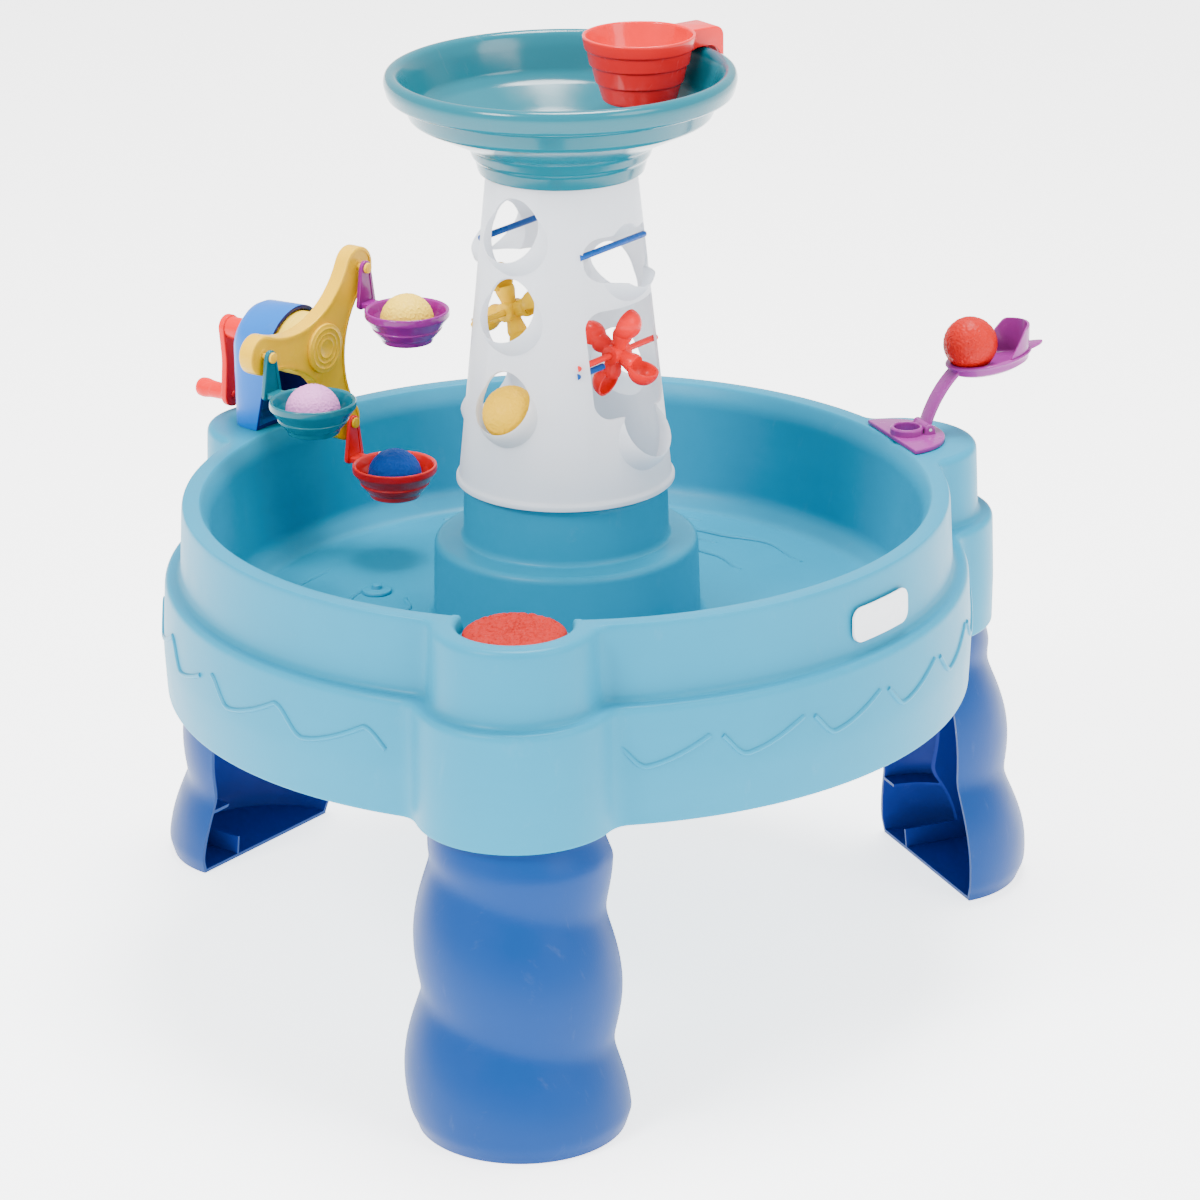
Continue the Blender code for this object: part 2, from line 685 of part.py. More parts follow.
def make_funnel(material, parent):
    lip = FUNNEL_LIP_R
    top = FUNNEL_Z
    section = [
        (lip - 0.0075, top),
        (lip - 0.0025, top - 0.0025),
        (lip, top - 0.0085),
        (lip - 0.0035, top - 0.0210),
        (lip - 0.0160, top - 0.0225),
        (0.1285, 0.7610),
        (0.0860, 0.7405),
        (0.0775, 0.7350),
        (0.0735, 0.7270),
        (0.0705, 0.7125),
        (0.0668, 0.7125),
        (0.0668, 0.7250),
        (0.0310, 0.7255),
        (0.0330, 0.7300),
        (0.0700, 0.7340),
        (0.0880, 0.7435),
        (0.1190, 0.7585),
        (0.1265, 0.7660),
        (0.1335, 0.7880),
        (0.1375, 0.7970),
    ]
    return finish(turned("funnel", section, 36), material, parent)


def cup_section():
    """Stepped wall of the cup: up its inside, over the rim and down its outside."""
    return [
        (0, CUP_FLOOR_Z + CUP_WALL),
        (CUP_R - 0.0190, CUP_FLOOR_Z + CUP_WALL),
        (CUP_R - 0.0150, CUP_Z - 0.0415),
        (CUP_R - 0.0100, CUP_Z - 0.0260),
        (CUP_R - 0.0060, CUP_Z - 0.0125),
        (CUP_R - 0.0027, CUP_Z - 0.0015),
        (CUP_R - 0.0005, CUP_Z),
        (CUP_R, CUP_Z - 0.0015),
        (CUP_R - 0.0015, CUP_Z - 0.0110),
        (CUP_R - 0.0035, CUP_Z - 0.0125),
        (CUP_R - 0.0055, CUP_Z - 0.0245),
        (CUP_R - 0.0075, CUP_Z - 0.0260),
        (CUP_R - 0.0105, CUP_Z - 0.0400),
        (CUP_R - 0.0125, CUP_Z - 0.0415),
        (CUP_R - 0.0165, CUP_FLOOR_Z + 0.0020),
        (CUP_R - 0.0185, CUP_FLOOR_Z),
        (0, CUP_FLOOR_Z),
    ]


def make_cup(material, parent):
    """Cup with a hooked handle that hangs over the funnel's rim. Its origin is on its own axis."""
    cup = turned("cup", cup_section(), CUP_STEPS)
    top = CUP_Z
    reach = HANDLE_REACH
    outline = [
        (CUP_R - 0.0040, top - 0.0005),
        (reach - 0.006, top - 0.0005),
        (reach - 0.0015, top - 0.0025),
        (reach, top - 0.0070),
        (reach, top - 0.0480),
        (reach - 0.0025, top - 0.0480),
    ]
    outline += arc((reach - 0.0160, top - 0.0290), 0.0125, 0, math.pi / 2, 6)
    outline += [(CUP_R + 0.0030, top - 0.0165), (CUP_R - 0.0040, top - 0.0190)]
    handle = prism("handle", outline, -HANDLE_HALF_WIDTH, HANDLE_HALF_WIDTH, SIDEWAYS)
    skin = 0.0025
    channel = box(
        "channel",
        (CUP_R + 0.0005, -HANDLE_HALF_WIDTH + skin, top - 0.10),
        (reach - skin, HANDLE_HALF_WIDTH - skin, top - 0.0005 - skin),
    )
    cut(handle, channel)
    add(cup, handle)
    finish(cup, material, parent)
    cup.location = facing(CUP_AZIMUTH) @ Vector((CUP_SEAT_R, 0, 0))
    cup.rotation_euler = (0, 0, math.radians(CUP_AZIMUTH - 90))
    return cup


# ---- Ferris wheel ------------------------------------------------------------------------


def wheel_outline(tip_r, web, count=7):
    """Three round-tipped arms joined by concave arcs, first arm at WHEEL_FIRST_ARM, in (y, z)."""
    ring = PIN_CIRCLE_R
    concave = (ring**2 + web**2 - ring * web - tip_r**2) / (ring + 2 * tip_r - 2 * web)
    centre_far = web + concave
    points = []
    for arm in range(3):
        heading = math.pi / 2 + WHEEL_FIRST_ARM + arm * 2 * math.pi / 3
        tip = (ring * math.cos(heading), ring * math.sin(heading))
        before = (centre_far * math.cos(heading - math.pi / 3), centre_far * math.sin(heading - math.pi / 3))
        after = (centre_far * math.cos(heading + math.pi / 3), centre_far * math.sin(heading + math.pi / 3))
        start = math.atan2(before[1] - tip[1], before[0] - tip[0])
        end = math.atan2(after[1] - tip[1], after[0] - tip[0])
        while end < start:
            end += 2 * math.pi
        points += arc(tip, tip_r, start, end, count + 3)
        opening = math.atan2(tip[1] - after[1], tip[0] - after[0])
        onward = heading + 2 * math.pi / 3
        following = (ring * math.cos(onward), ring * math.sin(onward))
        closing = math.atan2(following[1] - after[1], following[0] - after[0])
        while closing > opening:
            closing -= 2 * math.pi
        points += arc(after, concave, opening, closing, count)[1:-1]
    return points


def pin_places():
    """(y, z) of the three bucket pins round the wheel's axle."""
    headings = [WHEEL_FIRST_ARM + arm * 2 * math.pi / 3 for arm in range(3)]
    return [(-PIN_CIRCLE_R * math.sin(heading), PIN_CIRCLE_R * math.cos(heading)) for heading in headings]


def make_wheel(material, parent):
    """The wheel's origin is on its axle, level with the station's axis."""
    outline = wheel_outline(WHEEL_TIP_R, WHEEL_WEB)
    wheel = prism("ferris_wheel", outline, WHEEL_FRONT_X, WHEEL_BACK_X, ALONG_X)
    add(wheel, rod("hub_boss", 0.0225, WHEEL_FRONT_X - 0.0025, WHEEL_BACK_X - 0.002, 24, ALONG_X))
    cut(wheel, rod("axle_bore", AXLE_R + GAP, WHEEL_FRONT_X + 0.003, WHEEL_BACK_X + 0.01, 12, ALONG_X))
    for y, z in pin_places():
        place = at(0, y, z) @ ALONG_X
        cut(wheel, rod("pin_bore", PIN_R + GAP, WHEEL_FRONT_X - 0.01, WHEEL_BACK_X + 0.01, 10, place))
    return finish(wheel, material, parent)


def make_drum(material, parent):
    low, high = WHEEL_BACK_X + GAP, 0.3400
    bore = AXLE_R + GAP
    section = [(bore, high), (0.0270, high), (0.0290, high - 0.003), (0.0290, low), (bore, low)]
    return finish(turned("wheel_drum", section, 28, ALONG_X), material, parent)


def make_axle(material, parent):
    axle = rod("wheel_axle", AXLE_R, WHEEL_FRONT_X + 0.0035, CRANK_X + CRANK_THICK - 0.001, 14, ALONG_X)
    return finish(axle, material, parent)


def arch_loop(bm, x_low, x_high, half_width, top, foot, count=10):
    """Arch outline across the station: straight sides and a round top, leaning from x_low to x_high."""
    centre_z = top - half_width
    points = [(half_width, foot)] + arc((0, centre_z), half_width, 0, math.pi, count) + [(-half_width, foot)]
    verts = []
    for y, z in points:
        share = (z - foot) / (top - foot)
        verts.append(bm.verts.new((x_low + (x_high - x_low) * share, y, z)))
    return verts


def bracket_solid(name, shrink, mouth, foot):
    """Tapered arch: wide mouth towards the basin, narrower and lower at the back."""
    bm = bmesh.new()
    loops = []
    rings = (
        (0.3260 - mouth, 0.3000 - mouth, 0.0340, 0.5395),
        (0.3400, 0.3400, 0.0335, 0.5375),
        (0.3510, 0.3510, 0.0305, 0.5300),
        (BRACKET_BACK_X - shrink, BRACKET_BACK_X - shrink, 0.0250, 0.5200),
    )
    for x_low, x_high, half_width, top in rings:
        verts = arch_loop(bm, x_low, x_high, half_width - shrink, top - shrink, foot)
        loops.append([bm.edges.new((verts[i - 1], verts[i])) for i in range(len(verts))])
    for first, second in zip(loops, loops[1:]):
        bmesh.ops.bridge_loops(bm, edges=first + second)
    bmesh.ops.holes_fill(bm, edges=loops[0] + loops[-1], sides=0)
    return to_object(bm, name)


def make_bracket(material, parent):
    foot = RIM_Z + GAP
    bracket = bracket_solid("wheel_bracket", 0.0, 0.0, foot)
    cut(bracket, bracket_solid("bracket_hollow", 0.003, 0.03, foot + 0.004))
    cut(bracket, rod("axle_hole", AXLE_R + GAP, BRACKET_BACK_X - 0.012, BRACKET_BACK_X + 0.012, 14, at(0, 0, AXLE_Z) @ ALONG_X))
    for y in (-BRACKET_SCREW_Y, BRACKET_SCREW_Y):
        cut(bracket, rod("screw_hole", SCREW_R + GAP, foot - 0.01, foot + 0.01, 10, at(BRACKET_SCREW_X, y)))
    return finish(bracket, material, parent)


def make_bracket_screw(name, y, material, parent):
    seat = RIM_Z + GAP + 0.004 + GAP
    section = [
        (0, seat + 0.0028),
        (0.0038, seat + 0.0022),
        (0.0042, seat),
        (SCREW_R, seat),
        (SCREW_R, seat - 0.0045),
        (0, seat - 0.0045),
    ]
    return finish(turned(name, section, 10), material, parent, (BRACKET_SCREW_X, y, 0))


def make_crank(material, parent):
    """Crank arm hanging from the axle's outer end; its own knob turns on its tip."""
    low, high = CRANK_X, CRANK_X + CRANK_THICK
    outline = arc((0, 0), 0.0120, 0.10, math.pi - 0.10, 10)
    outline += arc((0, -CRANK_R), 0.0105, math.pi + 0.02, 2 * math.pi - 0.02, 10)
    crank = prism("crank_arm", outline, low, high, ALONG_X)
    add(crank, rod("crank_boss", 0.0100, BRACKET_BACK_X + 0.0015, high - 0.001, 18, ALONG_X))
    cut(crank, rod("axle_socket", AXLE_R + GAP, low - 0.04, high - 0.0007, 14, ALONG_X))
    cut(crank, rod("knob_bore", 0.0035 + GAP, low - 0.01, high + 0.01, 12, at(0, 0, -CRANK_R) @ ALONG_X))
    return finish(crank, material, parent)


def make_knob(material, parent):
    """Grip that turns freely on the crank's tip. Its origin is on its own axis."""
    start = CRANK_X + CRANK_THICK + GAP
    end = start + KNOB_REACH
    section = [
        (0, end),
        (0.0060, end),
        (0.0088, end - 0.0030),
        (0.0092, end - 0.0090),
        (0.0080, end - 0.0160),
        (0.0072, start),
        (0.0035, start),
        (0.0035, CRANK_X - 0.0012),
        (0, CRANK_X - 0.0012),
    ]
    return finish(turned("crank_knob", section, 16, ALONG_X), material, parent, (0, 0, -CRANK_R))


def make_bucket(name, material, parent, location):
    """Open-bottomed bucket on a hanger plate. Its origin is on its pivot pin's axis."""
    section = [
        (0.0375, 0),
        (BUCKET_RIM_R, -0.0020),
        (BUCKET_RIM_R, -0.0065),
        (0.0360, -0.0090),
        (0.0255, -0.0235),
        (0.0228, -0.0300),
        (0.0172, -0.0300),
        (0.0212, -0.0255),
        (0.0265, -0.0180),
        (0.0325, -0.0085),
        (0.0355, 0),
    ]
    bucket_x = BUCKET_X - HANGER_X
    rim = -BUCKET_DROP
    bucket = turned(name, section, BUCKET_STEPS, at(bucket_x, 0, rim))
    outline = arc((0, 0), 0.0065, 0.15, math.pi - 0.15, 8)
    outline += arc((-0.0075, rim - 0.0030), 0.0045, math.pi, 1.5 * math.pi, 4)
    outline += arc((0.0075, rim - 0.0030), 0.0045, 1.5 * math.pi, 2 * math.pi, 4)
    hanger = prism("hanger", outline, -0.0038, 0, ALONG_X)
    bridge_x = bucket_x + BUCKET_RIM_R - 0.0015
    bridge = box("bridge", (bridge_x, -0.0085, rim - 0.0062), (-0.0020, 0.0085, rim - 0.0010))
    add(bucket, hanger, bridge)
    cut(bucket, rod("pin_hole", PIN_R + GAP, -0.02, 0.02, 10, ALONG_X))
    return finish(bucket, material, parent, location)


def make_bucket_pin(name, material, parent, location):
    """Headed pin through a bucket's hanger into the wheel's arm."""
    head = -0.0038 - GAP
    tail = WHEEL_BACK_X - HANGER_X
    section = [
        (0, tail),
        (PIN_R, tail),
        (PIN_R, head),
        (0.0050, head),
        (0.0046, head - 0.0020),
        (0, head - 0.0026),
    ]
    return finish(turned(name, section, 12, ALONG_X), material, parent, location)


# ---- Balls -------------------------------------------------------------------------------


def make_ball(name, material, parent, location):
    bm = bmesh.new()
    bmesh.ops.create_icosphere(bm, subdivisions=3, radius=BALL_R)
    return finish(to_object(bm, name), material, parent, location)


# ---- Ball flinger ------------------------------------------------------------------------


def make_flinger_base(material, parent):
    """D-shaped plate on the lobe with a ring socket and two lugs for the arm's hinge."""
    base = RIM_Z + GAP
    outline = arc((PLATE_X, PLATE_Y), PLATE_R, -math.pi / 2, math.pi / 2, 20)
    plate = prism("flinger_base", outline, base, base + PLATE_THICK)
    add(plate, rod("socket", SOCKET_R, base + 0.001, base + 0.0105, 24, at(SOCKET_X, PLATE_Y)))
    cut(plate, rod("socket_hole", SOCKET_R - 0.0035, base - 0.01, base + 0.02, 20, at(SOCKET_X, PLATE_Y)))
    hinge = at(FLINGER_PIVOT[0], PLATE_Y, FLINGER_PIVOT[1]) @ SIDEWAYS
    cut(plate, rod("relief", 0.0052, -0.0102, 0.0102, 12, hinge))
    for side in (-1, 1):
        low, high = sorted((PLATE_Y + side * 0.0102, PLATE_Y + side * 0.0135))
        lug = prism("lug", lug_outline(base), -high, -low, SIDEWAYS)
        add(plate, lug)
    cut(plate, rod("pin_hole", HINGE_PIN_R + GAP, -0.02, 0.02, 10, hinge))
    return finish(plate, material, parent)


def lug_outline(base):
    x, z = FLINGER_PIVOT
    return [(x - 0.006, base + 0.001)] + arc((x, z), 0.0045, math.pi, 0, 8) + [(x + 0.006, base + 0.001)]


def make_flinger_pin(material, parent):
    pin = rod("flinger_pin", HINGE_PIN_R, -0.0135, 0.0135, 10, SIDEWAYS)
    return finish(pin, material, parent, (FLINGER_PIVOT[0], PLATE_Y, FLINGER_PIVOT[1]))


def spoon_place():
    """From the spoon's own frame to the frame of the arm's hinge line."""
    x, z = FLINGER_PIVOT
    return at(SPOON_X - x, 0, SPOON_Z - z) @ Matrix.Rotation(-SPOON_TILT, 4, "Y")


def strap_outline(count=8):
    """Side view of the curved strap, from the hinge barrel up to the spoon, 3.6 mm thick."""
    start, bend, end = Vector((0.001, 0.001)), Vector((0.012, 0.034)), Vector((0.036, 0.0525))
    left, right = [], []
    for step in range(count + 1):
        t = step / count
        point = start * (1 - t) ** 2 + bend * 2 * t * (1 - t) + end * t**2
        way = ((bend - start) * (1 - t) + (end - bend) * t).normalized()
        side = Vector((-way.y, way.x)) * 0.0018
        left.append(tuple(point + side))
        right.append(tuple(point - side))
    return left + right[::-1]


def make_flinger_arm(material, parent):
    """Strap with an oval spoon at its end. Its origin is on the hinge line."""
    arm = prism("flinger_arm", strap_outline(), -0.0090, 0.0090, SIDEWAYS)
    add(arm, rod("barrel", 0.0045, -0.0095, 0.0095, 14, SIDEWAYS))
    long_half, wide_half = SPOON_HALF
    skin = 0.0025
    oval = Matrix.Diagonal((1, wide_half / long_half, 1, 1))
    low_cup = [(0, 0.012), (long_half, 0.012), (long_half - 0.0025, 0.003), (long_half - 0.009, 0), (0, 0)]
    tall_cup = [(0, 0.034), (long_half + 0.002, 0.034), (long_half - 0.0025, 0.003)]
    tall_cup += [(long_half - 0.009, 0.001), (0, 0.001)]
    inside = [
        (0, 0.040),
        (long_half - skin + 0.003, 0.040),
        (long_half - skin - 0.0025, 0.0035),
        (long_half - 0.011, skin),
        (0, skin),
    ]
    spoon = turned("spoon", low_cup, 32, oval)
    wall = turned("far_wall", tall_cup, 32, oval)
    slope = [(0.0080, 0.011), (0.0300, 0.0345), (0.06, 0.0345), (0.06, -0.001), (0.0080, -0.001)]
    keep(wall, prism("wall_part", slope, -0.05, 0.05, SIDEWAYS))
    tab_outline = [(0.030, 0.010), (0.0415, 0.0085), (0.0500, 0.0050), (0.0560, 0), (0.0500, -0.0050)]
    tab_outline += [(0.0415, -0.0085), (0.030, -0.010)]
    add(spoon, wall, prism("tab", tab_outline, 0.0090, 0.0115))
    spoon.data.transform(spoon_place())
    add(arm, spoon)
    cut(arm, turned("spoon_hollow", inside, 32, spoon_place() @ oval))
    cut(arm, rod("pin_hole", HINGE_PIN_R + GAP, -0.02, 0.02, 10, SIDEWAYS))
    return finish(arm, material, parent, (FLINGER_PIVOT[0], PLATE_Y, FLINGER_PIVOT[1]))


# ---- The whole table ---------------------------------------------------------------------


def make_table():
    axis = empty("table_axis", location=(AXIS_X, AXIS_Y, 0))
    stations = {
        name: empty(f"{name}_station", axis, turn=math.radians(azimuth - 90))
        for name, azimuth in STATION_AZIMUTH.items()
    }
    make_basin(plastic("basin_blue", SKY, 0.40), axis)
    make_drain_plug(plastic("plug_blue", SKY, 0.40), axis)
    make_name_plate(plastic("plate_white", (0.85, 0.87, 0.90), 0.35), axis)
    make_splash_disc(plastic("disc_red", (0.80, 0.09, 0.05), 0.55), stations["front"])
    for name, station in stations.items():
        make_leg(f"{name}_leg", plastic(f"{name}_leg_blue", LEG_BLUE, 0.42), station)
        make_leg_screw(f"{name}_leg_screw", steel(f"{name}_screw_steel"), station)

    make_tower(plastic("tower_white", TRANSLUCENT, 0.35, 0.75), axis)
    make_funnel(plastic("funnel_teal", TEAL, 0.12), axis)
    make_cup(plastic("cup_red", RED, 0.25), axis)
    red_column, yellow_column = PADDLE_AZIMUTHS
    spinners = (("red", RED, red_column, SPINNER_Z), ("yellow", GOLD, yellow_column, YELLOW_SPINNER_Z))
    for name, colour, azimuth, height in spinners:
        spinner_plastic = plastic(f"{name}_spinner_plastic", colour, 0.3)
        make_spinner(f"{name}_spinner", height, azimuth, spinner_plastic, axis)
        axle_plastic = plastic(f"{name}_axle_plastic", colour, 0.3)
        chord_rod(f"{name}_spinner_axle", SPINNER_R, height, azimuth, axle_plastic, axis)
        rod_blue = plastic(f"{name}_side_rod_blue", ROD_BLUE, 0.3)
        chord_rod(f"upper_rod_{name}_side", TOP_ROD_R, TOP_ROD_Z, azimuth, rod_blue, axis)
    make_peg(plastic("peg_blue", ROD_BLUE, 0.3), axis)

    left = stations["left"]
    hub = empty("wheel_hub", left, (0, 0, AXLE_Z))
    make_bracket(plastic("bracket_blue", BRACKET_BLUE, 0.3), left)
    for name, y in (("front", -BRACKET_SCREW_Y), ("rear", BRACKET_SCREW_Y)):
        make_bracket_screw(f"bracket_screw_{name}", y, steel(f"bracket_screw_{name}_steel"), left)
    make_wheel(plastic("wheel_gold", GOLD, 0.3), hub)
    make_drum(plastic("drum_gold", PALE_GOLD, 0.3), hub)
    make_axle(steel("axle_steel"), hub)
    make_crank(plastic("crank_red", RED, 0.3), hub)
    make_knob(plastic("knob_red", RED, 0.3), hub)
    buckets = (
        ("purple", PURPLE, "yellow_ball", PALE_GOLD),
        ("red", RED, "blue_ball", BALL_BLUE),
        ("teal", TEAL, "pink_ball", PINK),
    )
    for (y, z), (name, colour, ball, ball_colour) in zip(pin_places(), buckets):
        place = (HANGER_X, y, z)
        make_bucket(f"{name}_bucket", plastic(f"{name}_bucket_plastic", colour, 0.25), hub, place)
        make_bucket_pin(f"{name}_bucket_pin", plastic(f"{name}_pin_plastic", GOLD, 0.3), hub, place)
        seat = (BUCKET_X, y, z - BUCKET_DROP - BALL_DROP)
        make_ball(ball, plastic(f"{ball}_plastic", ball_colour, 0.45), hub, seat)

    right = stations["right"]
    make_flinger_base(plastic("flinger_base_orchid", ORCHID, 0.3), right)
    make_flinger_pin(steel("flinger_pin_steel"), right)
    make_flinger_arm(plastic("flinger_arm_orchid", ORCHID, 0.3), right)
    ball_in_spoon = spoon_place() @ Vector((-0.0165, 0, 0.0025 + BALL_SEAT))
    pivot = Vector((FLINGER_PIVOT[0], PLATE_Y, FLINGER_PIVOT[1]))
    make_ball("orange_ball", plastic("orange_ball_plastic", CORAL, 0.45), right, pivot + ball_in_spoon)
    make_ball("gold_ball", plastic("gold_ball_plastic", GOLD, 0.45), axis, gold_ball_seat())


def gold_ball_seat():
    """The ball lies in the bottom of the lowest pocket of the first pocket column."""
    height = POCKET_Z[-1]
    reach = tower_radius(height) - BULGE_IN
    slack = BULGE_R - TOWER_SKIN - BALL_SEAT - 0.0006
    return facing(POCKET_AZIMUTHS[0]) @ Vector((reach + slack * SEAT_OUT, 0, height - BULGE_DROP - slack * SEAT_DOWN))


clear_scene()
make_table()
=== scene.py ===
"""Looks of the sand and water table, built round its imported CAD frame.

Metres, +Z up. Pieces are modelled in a station's own frame, where +X points straight
outwards from the basin's axis, +Y runs round the table and +Z is up, and are then laid in
place, so that every finished object sits at the origin with its place in its mesh.
"""

import math

import bmesh
import bpy
from mathutils import Matrix, Vector, noise


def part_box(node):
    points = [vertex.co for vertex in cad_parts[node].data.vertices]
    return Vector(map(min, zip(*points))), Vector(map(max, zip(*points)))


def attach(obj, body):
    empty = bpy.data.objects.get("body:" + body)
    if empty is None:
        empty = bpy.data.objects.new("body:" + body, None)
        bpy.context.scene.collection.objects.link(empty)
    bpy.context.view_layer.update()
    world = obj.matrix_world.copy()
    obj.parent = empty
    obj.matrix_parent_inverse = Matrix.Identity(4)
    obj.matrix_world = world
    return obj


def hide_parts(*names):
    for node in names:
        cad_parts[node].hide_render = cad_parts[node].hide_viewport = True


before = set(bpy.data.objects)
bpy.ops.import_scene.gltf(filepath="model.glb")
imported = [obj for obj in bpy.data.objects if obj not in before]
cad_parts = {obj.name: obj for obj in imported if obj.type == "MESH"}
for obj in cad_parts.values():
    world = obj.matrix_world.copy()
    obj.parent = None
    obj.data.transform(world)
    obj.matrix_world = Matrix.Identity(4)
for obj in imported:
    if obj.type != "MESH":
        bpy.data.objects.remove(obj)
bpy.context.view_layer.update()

# ---- Sizes -------------------------------------------------------------------------------

TOWER_LOW, TOWER_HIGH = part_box("tower_shell")
AXIS = (TOWER_LOW + TOWER_HIGH) / 2  # only its X and Y are used: the basin's axis
AXIS.z = 0
STATION = {"front": 0.0, "right": 120.0, "left": 240.0}  # azimuths, from -Y towards +X
LOBE_R = 0.3246
LOBE_BLEND = 0.012  # softness of the valley between a lobe and the round body
WALL = 0.004
RIM_Z = 0.425
PAN_R = 0.310
PAN_FLOOR_Z = 0.310
SKIRT_Z = 0.257
LEDGE_Z = 0.360
ISLAND_TOP_Z = 0.437
SHELF_Z, SHELF_R = 0.409, 0.0475
PLATE_AZIMUTH, PLATE_HALF = 58.0, (0.0380, 0.0150)
GAP = 0.0003

LEG_TOP_Z = 0.3015
LEG_PITCH = 0.113
LEG_GROOVE_Z, LEG_GROOVE_TILT = 0.0932, 0.0208
LEG_SKIN = 0.0035
LEG_INSET = 0.0006  # keeps a leg's finer surface inside the CAD one's box
SCREW_X = 0.352

TOWER_FOOT_Z = ISLAND_TOP_Z + GAP
TOWER_BASE_Z, TOWER_BASE_R = 0.450, 0.0915
TOWER_TOP_Z, TOWER_TOP_R = 0.724, 0.0632
TOWER_SKIN = 0.0025
BALL_COLUMNS = (-30.0, 150.0)
SPINNER_COLUMNS = (60.0, 240.0)
BALL_POCKETS = (0.670, 0.602, 0.522)
SPINNER_POCKETS = (0.644, 0.496)
POCKET_R, POCKET_TILT = 0.0270, math.radians(33)
BULGE_R, BULGE_IN, BULGE_DROP = 0.0320, 0.012, 0.006
SPINNER_R, RED_SPINNER_Z, YELLOW_SPINNER_Z = 0.0570, 0.5600, 0.5780
SPINNER_SLOT = (0.0480, 0.0470)
ROD_SLOT, ROD_SLOT_Z = (0.0440, 0.0190), 0.6500
BRACKET_BACK_X = 0.3570
SCOOP_REACH, SCOOP_R, SPINNER_TURN = 0.0295, 0.0135, 20.0
ROD_R, TOP_ROD_R, TOP_ROD_Z = 0.0028, 0.0530, 0.6540
PEG_DROP = 0.0068

FUNNEL_LIP_R, FUNNEL_Z = 0.1497, 0.800
CUP_R, CUP_Z, CUP_FLOOR_Z = 0.0485, 0.8175, 0.7600
CUP_SEAT_R, CUP_AZIMUTH = 0.0815, 131.9
CUP_HANDLE_REACH, CUP_HANDLE_HALF = 0.0785, 0.015

BALL_R = 0.0245
AXLE_Z = 0.505
PIN_CIRCLE_R = 0.082
FIRST_ARM = math.radians(39.3)
WHEEL_X = (0.2710, 0.2860)
HANGER_X = 0.2665
BUCKET_X, BUCKET_DROP, BUCKET_RIM_R = 0.2170, 0.030, 0.0385
CRANK_R, CRANK_X = 0.064, 0.3815

PLATE_X, PLATE_Y, PLATE_R = 0.3175, 0.004, 0.048
SOCKET_X, SOCKET_R = 0.3330, 0.0150
HINGE = Vector((0.3500, 0.004, 0.4335))
SPOON = Vector((0.4155, 0.004, 0.4800))
SPOON_TILT = math.radians(8)


# ---- Mesh tools --------------------------------------------------------------------------

ALONG_X = Matrix(((0, 0, 1, 0), (1, 0, 0, 0), (0, 1, 0, 0), (0, 0, 0, 1)))
UPRIGHT = Matrix(((1, 0, 0, 0), (0, 0, -1, 0), (0, 1, 0, 0), (0, 0, 0, 1)))


def at(x, y=0.0, z=0.0):
    return Matrix.Translation((x, y, z))


def facing(azimuth):
    """From a station's frame to the table's, for a station at this azimuth."""
    return at(AXIS.x, AXIS.y) @ Matrix.Rotation(math.radians(azimuth - 90), 4, "Z")


def to_object(bm, name, place=None, recalculate=True):
    if place is not None:
        bmesh.ops.transform(bm, matrix=place, verts=bm.verts)
    if recalculate:
        bmesh.ops.recalc_face_normals(bm, faces=bm.faces)
    mesh = bpy.data.meshes.new(name)
    bm.to_mesh(mesh)
    bm.free()
    thing = bpy.data.objects.new(name, mesh)
    bpy.context.scene.collection.objects.link(thing)
    return thing


def softened(points, reach=0.002, count=4, ring=False):
    """The outline with its corners turned into small curves that start `reach` from each corner."""
    points = [Vector(point) for point in points]
    around = list(zip(points[-1:] + points[:-1], points, points[1:] + points[:1]))
    if not ring:
        around = around[1:-1]
    rounded = []
    for before, corner, after in around:
        cut_back = min(reach, (before - corner).length * 0.48, (after - corner).length * 0.48)
        start = corner + (before - corner).normalized() * cut_back
        end = corner + (after - corner).normalized() * cut_back
        for step in range(count + 1):
            t = step / count
            rounded.append(start * (1 - t) ** 2 + corner * 2 * t * (1 - t) + end * t**2)
    if not ring:
        rounded = [points[0], *rounded, points[-1]]
    return [tuple(point) for point in rounded]


def turned(name, section, steps=96, place=None, soft=0.0008):
    """Solid turned round Z from (radius, height) points: a ring where it starts off the axis."""
    ring = section[0][0] > 0
    if soft:
        section = softened(section, soft, 3, ring)
    bm = bmesh.new()
    corners = [bm.verts.new((radius, 0, height)) for radius, height in section]
    pairs = list(zip(corners, corners[1:]))
    if ring:
        pairs.append((corners[-1], corners[0]))
    edges = [bm.edges.new(pair) for pair in pairs]
    turn = {"cent": (0, 0, 0), "axis": (0, 0, 1), "angle": 2 * math.pi, "steps": steps}
    bmesh.ops.spin(bm, geom=corners + edges, use_merge=True, **turn)
    bmesh.ops.remove_doubles(bm, verts=bm.verts, dist=1e-6)
    return to_object(bm, name, place)


def surface(name, across, along, point, wrap=True, place=None):
    """Skin whose grid of points is point(column, row), joined round at its seam, its ends closed."""
    bm = bmesh.new()
    bmesh.ops.create_grid(bm, x_segments=across, y_segments=along, size=1)
    for vert in bm.verts:
        column = round((vert.co.x + 1) / 2 * across)
        row = round((vert.co.y + 1) / 2 * along)
        vert.co = point(column % across if wrap else column, row)
    bmesh.ops.remove_doubles(bm, verts=bm.verts, dist=1e-6)
    ends = [edge for edge in bm.edges if edge.is_boundary]
    if ends:
        bmesh.ops.holes_fill(bm, edges=ends, sides=0)
    return to_object(bm, name, place)


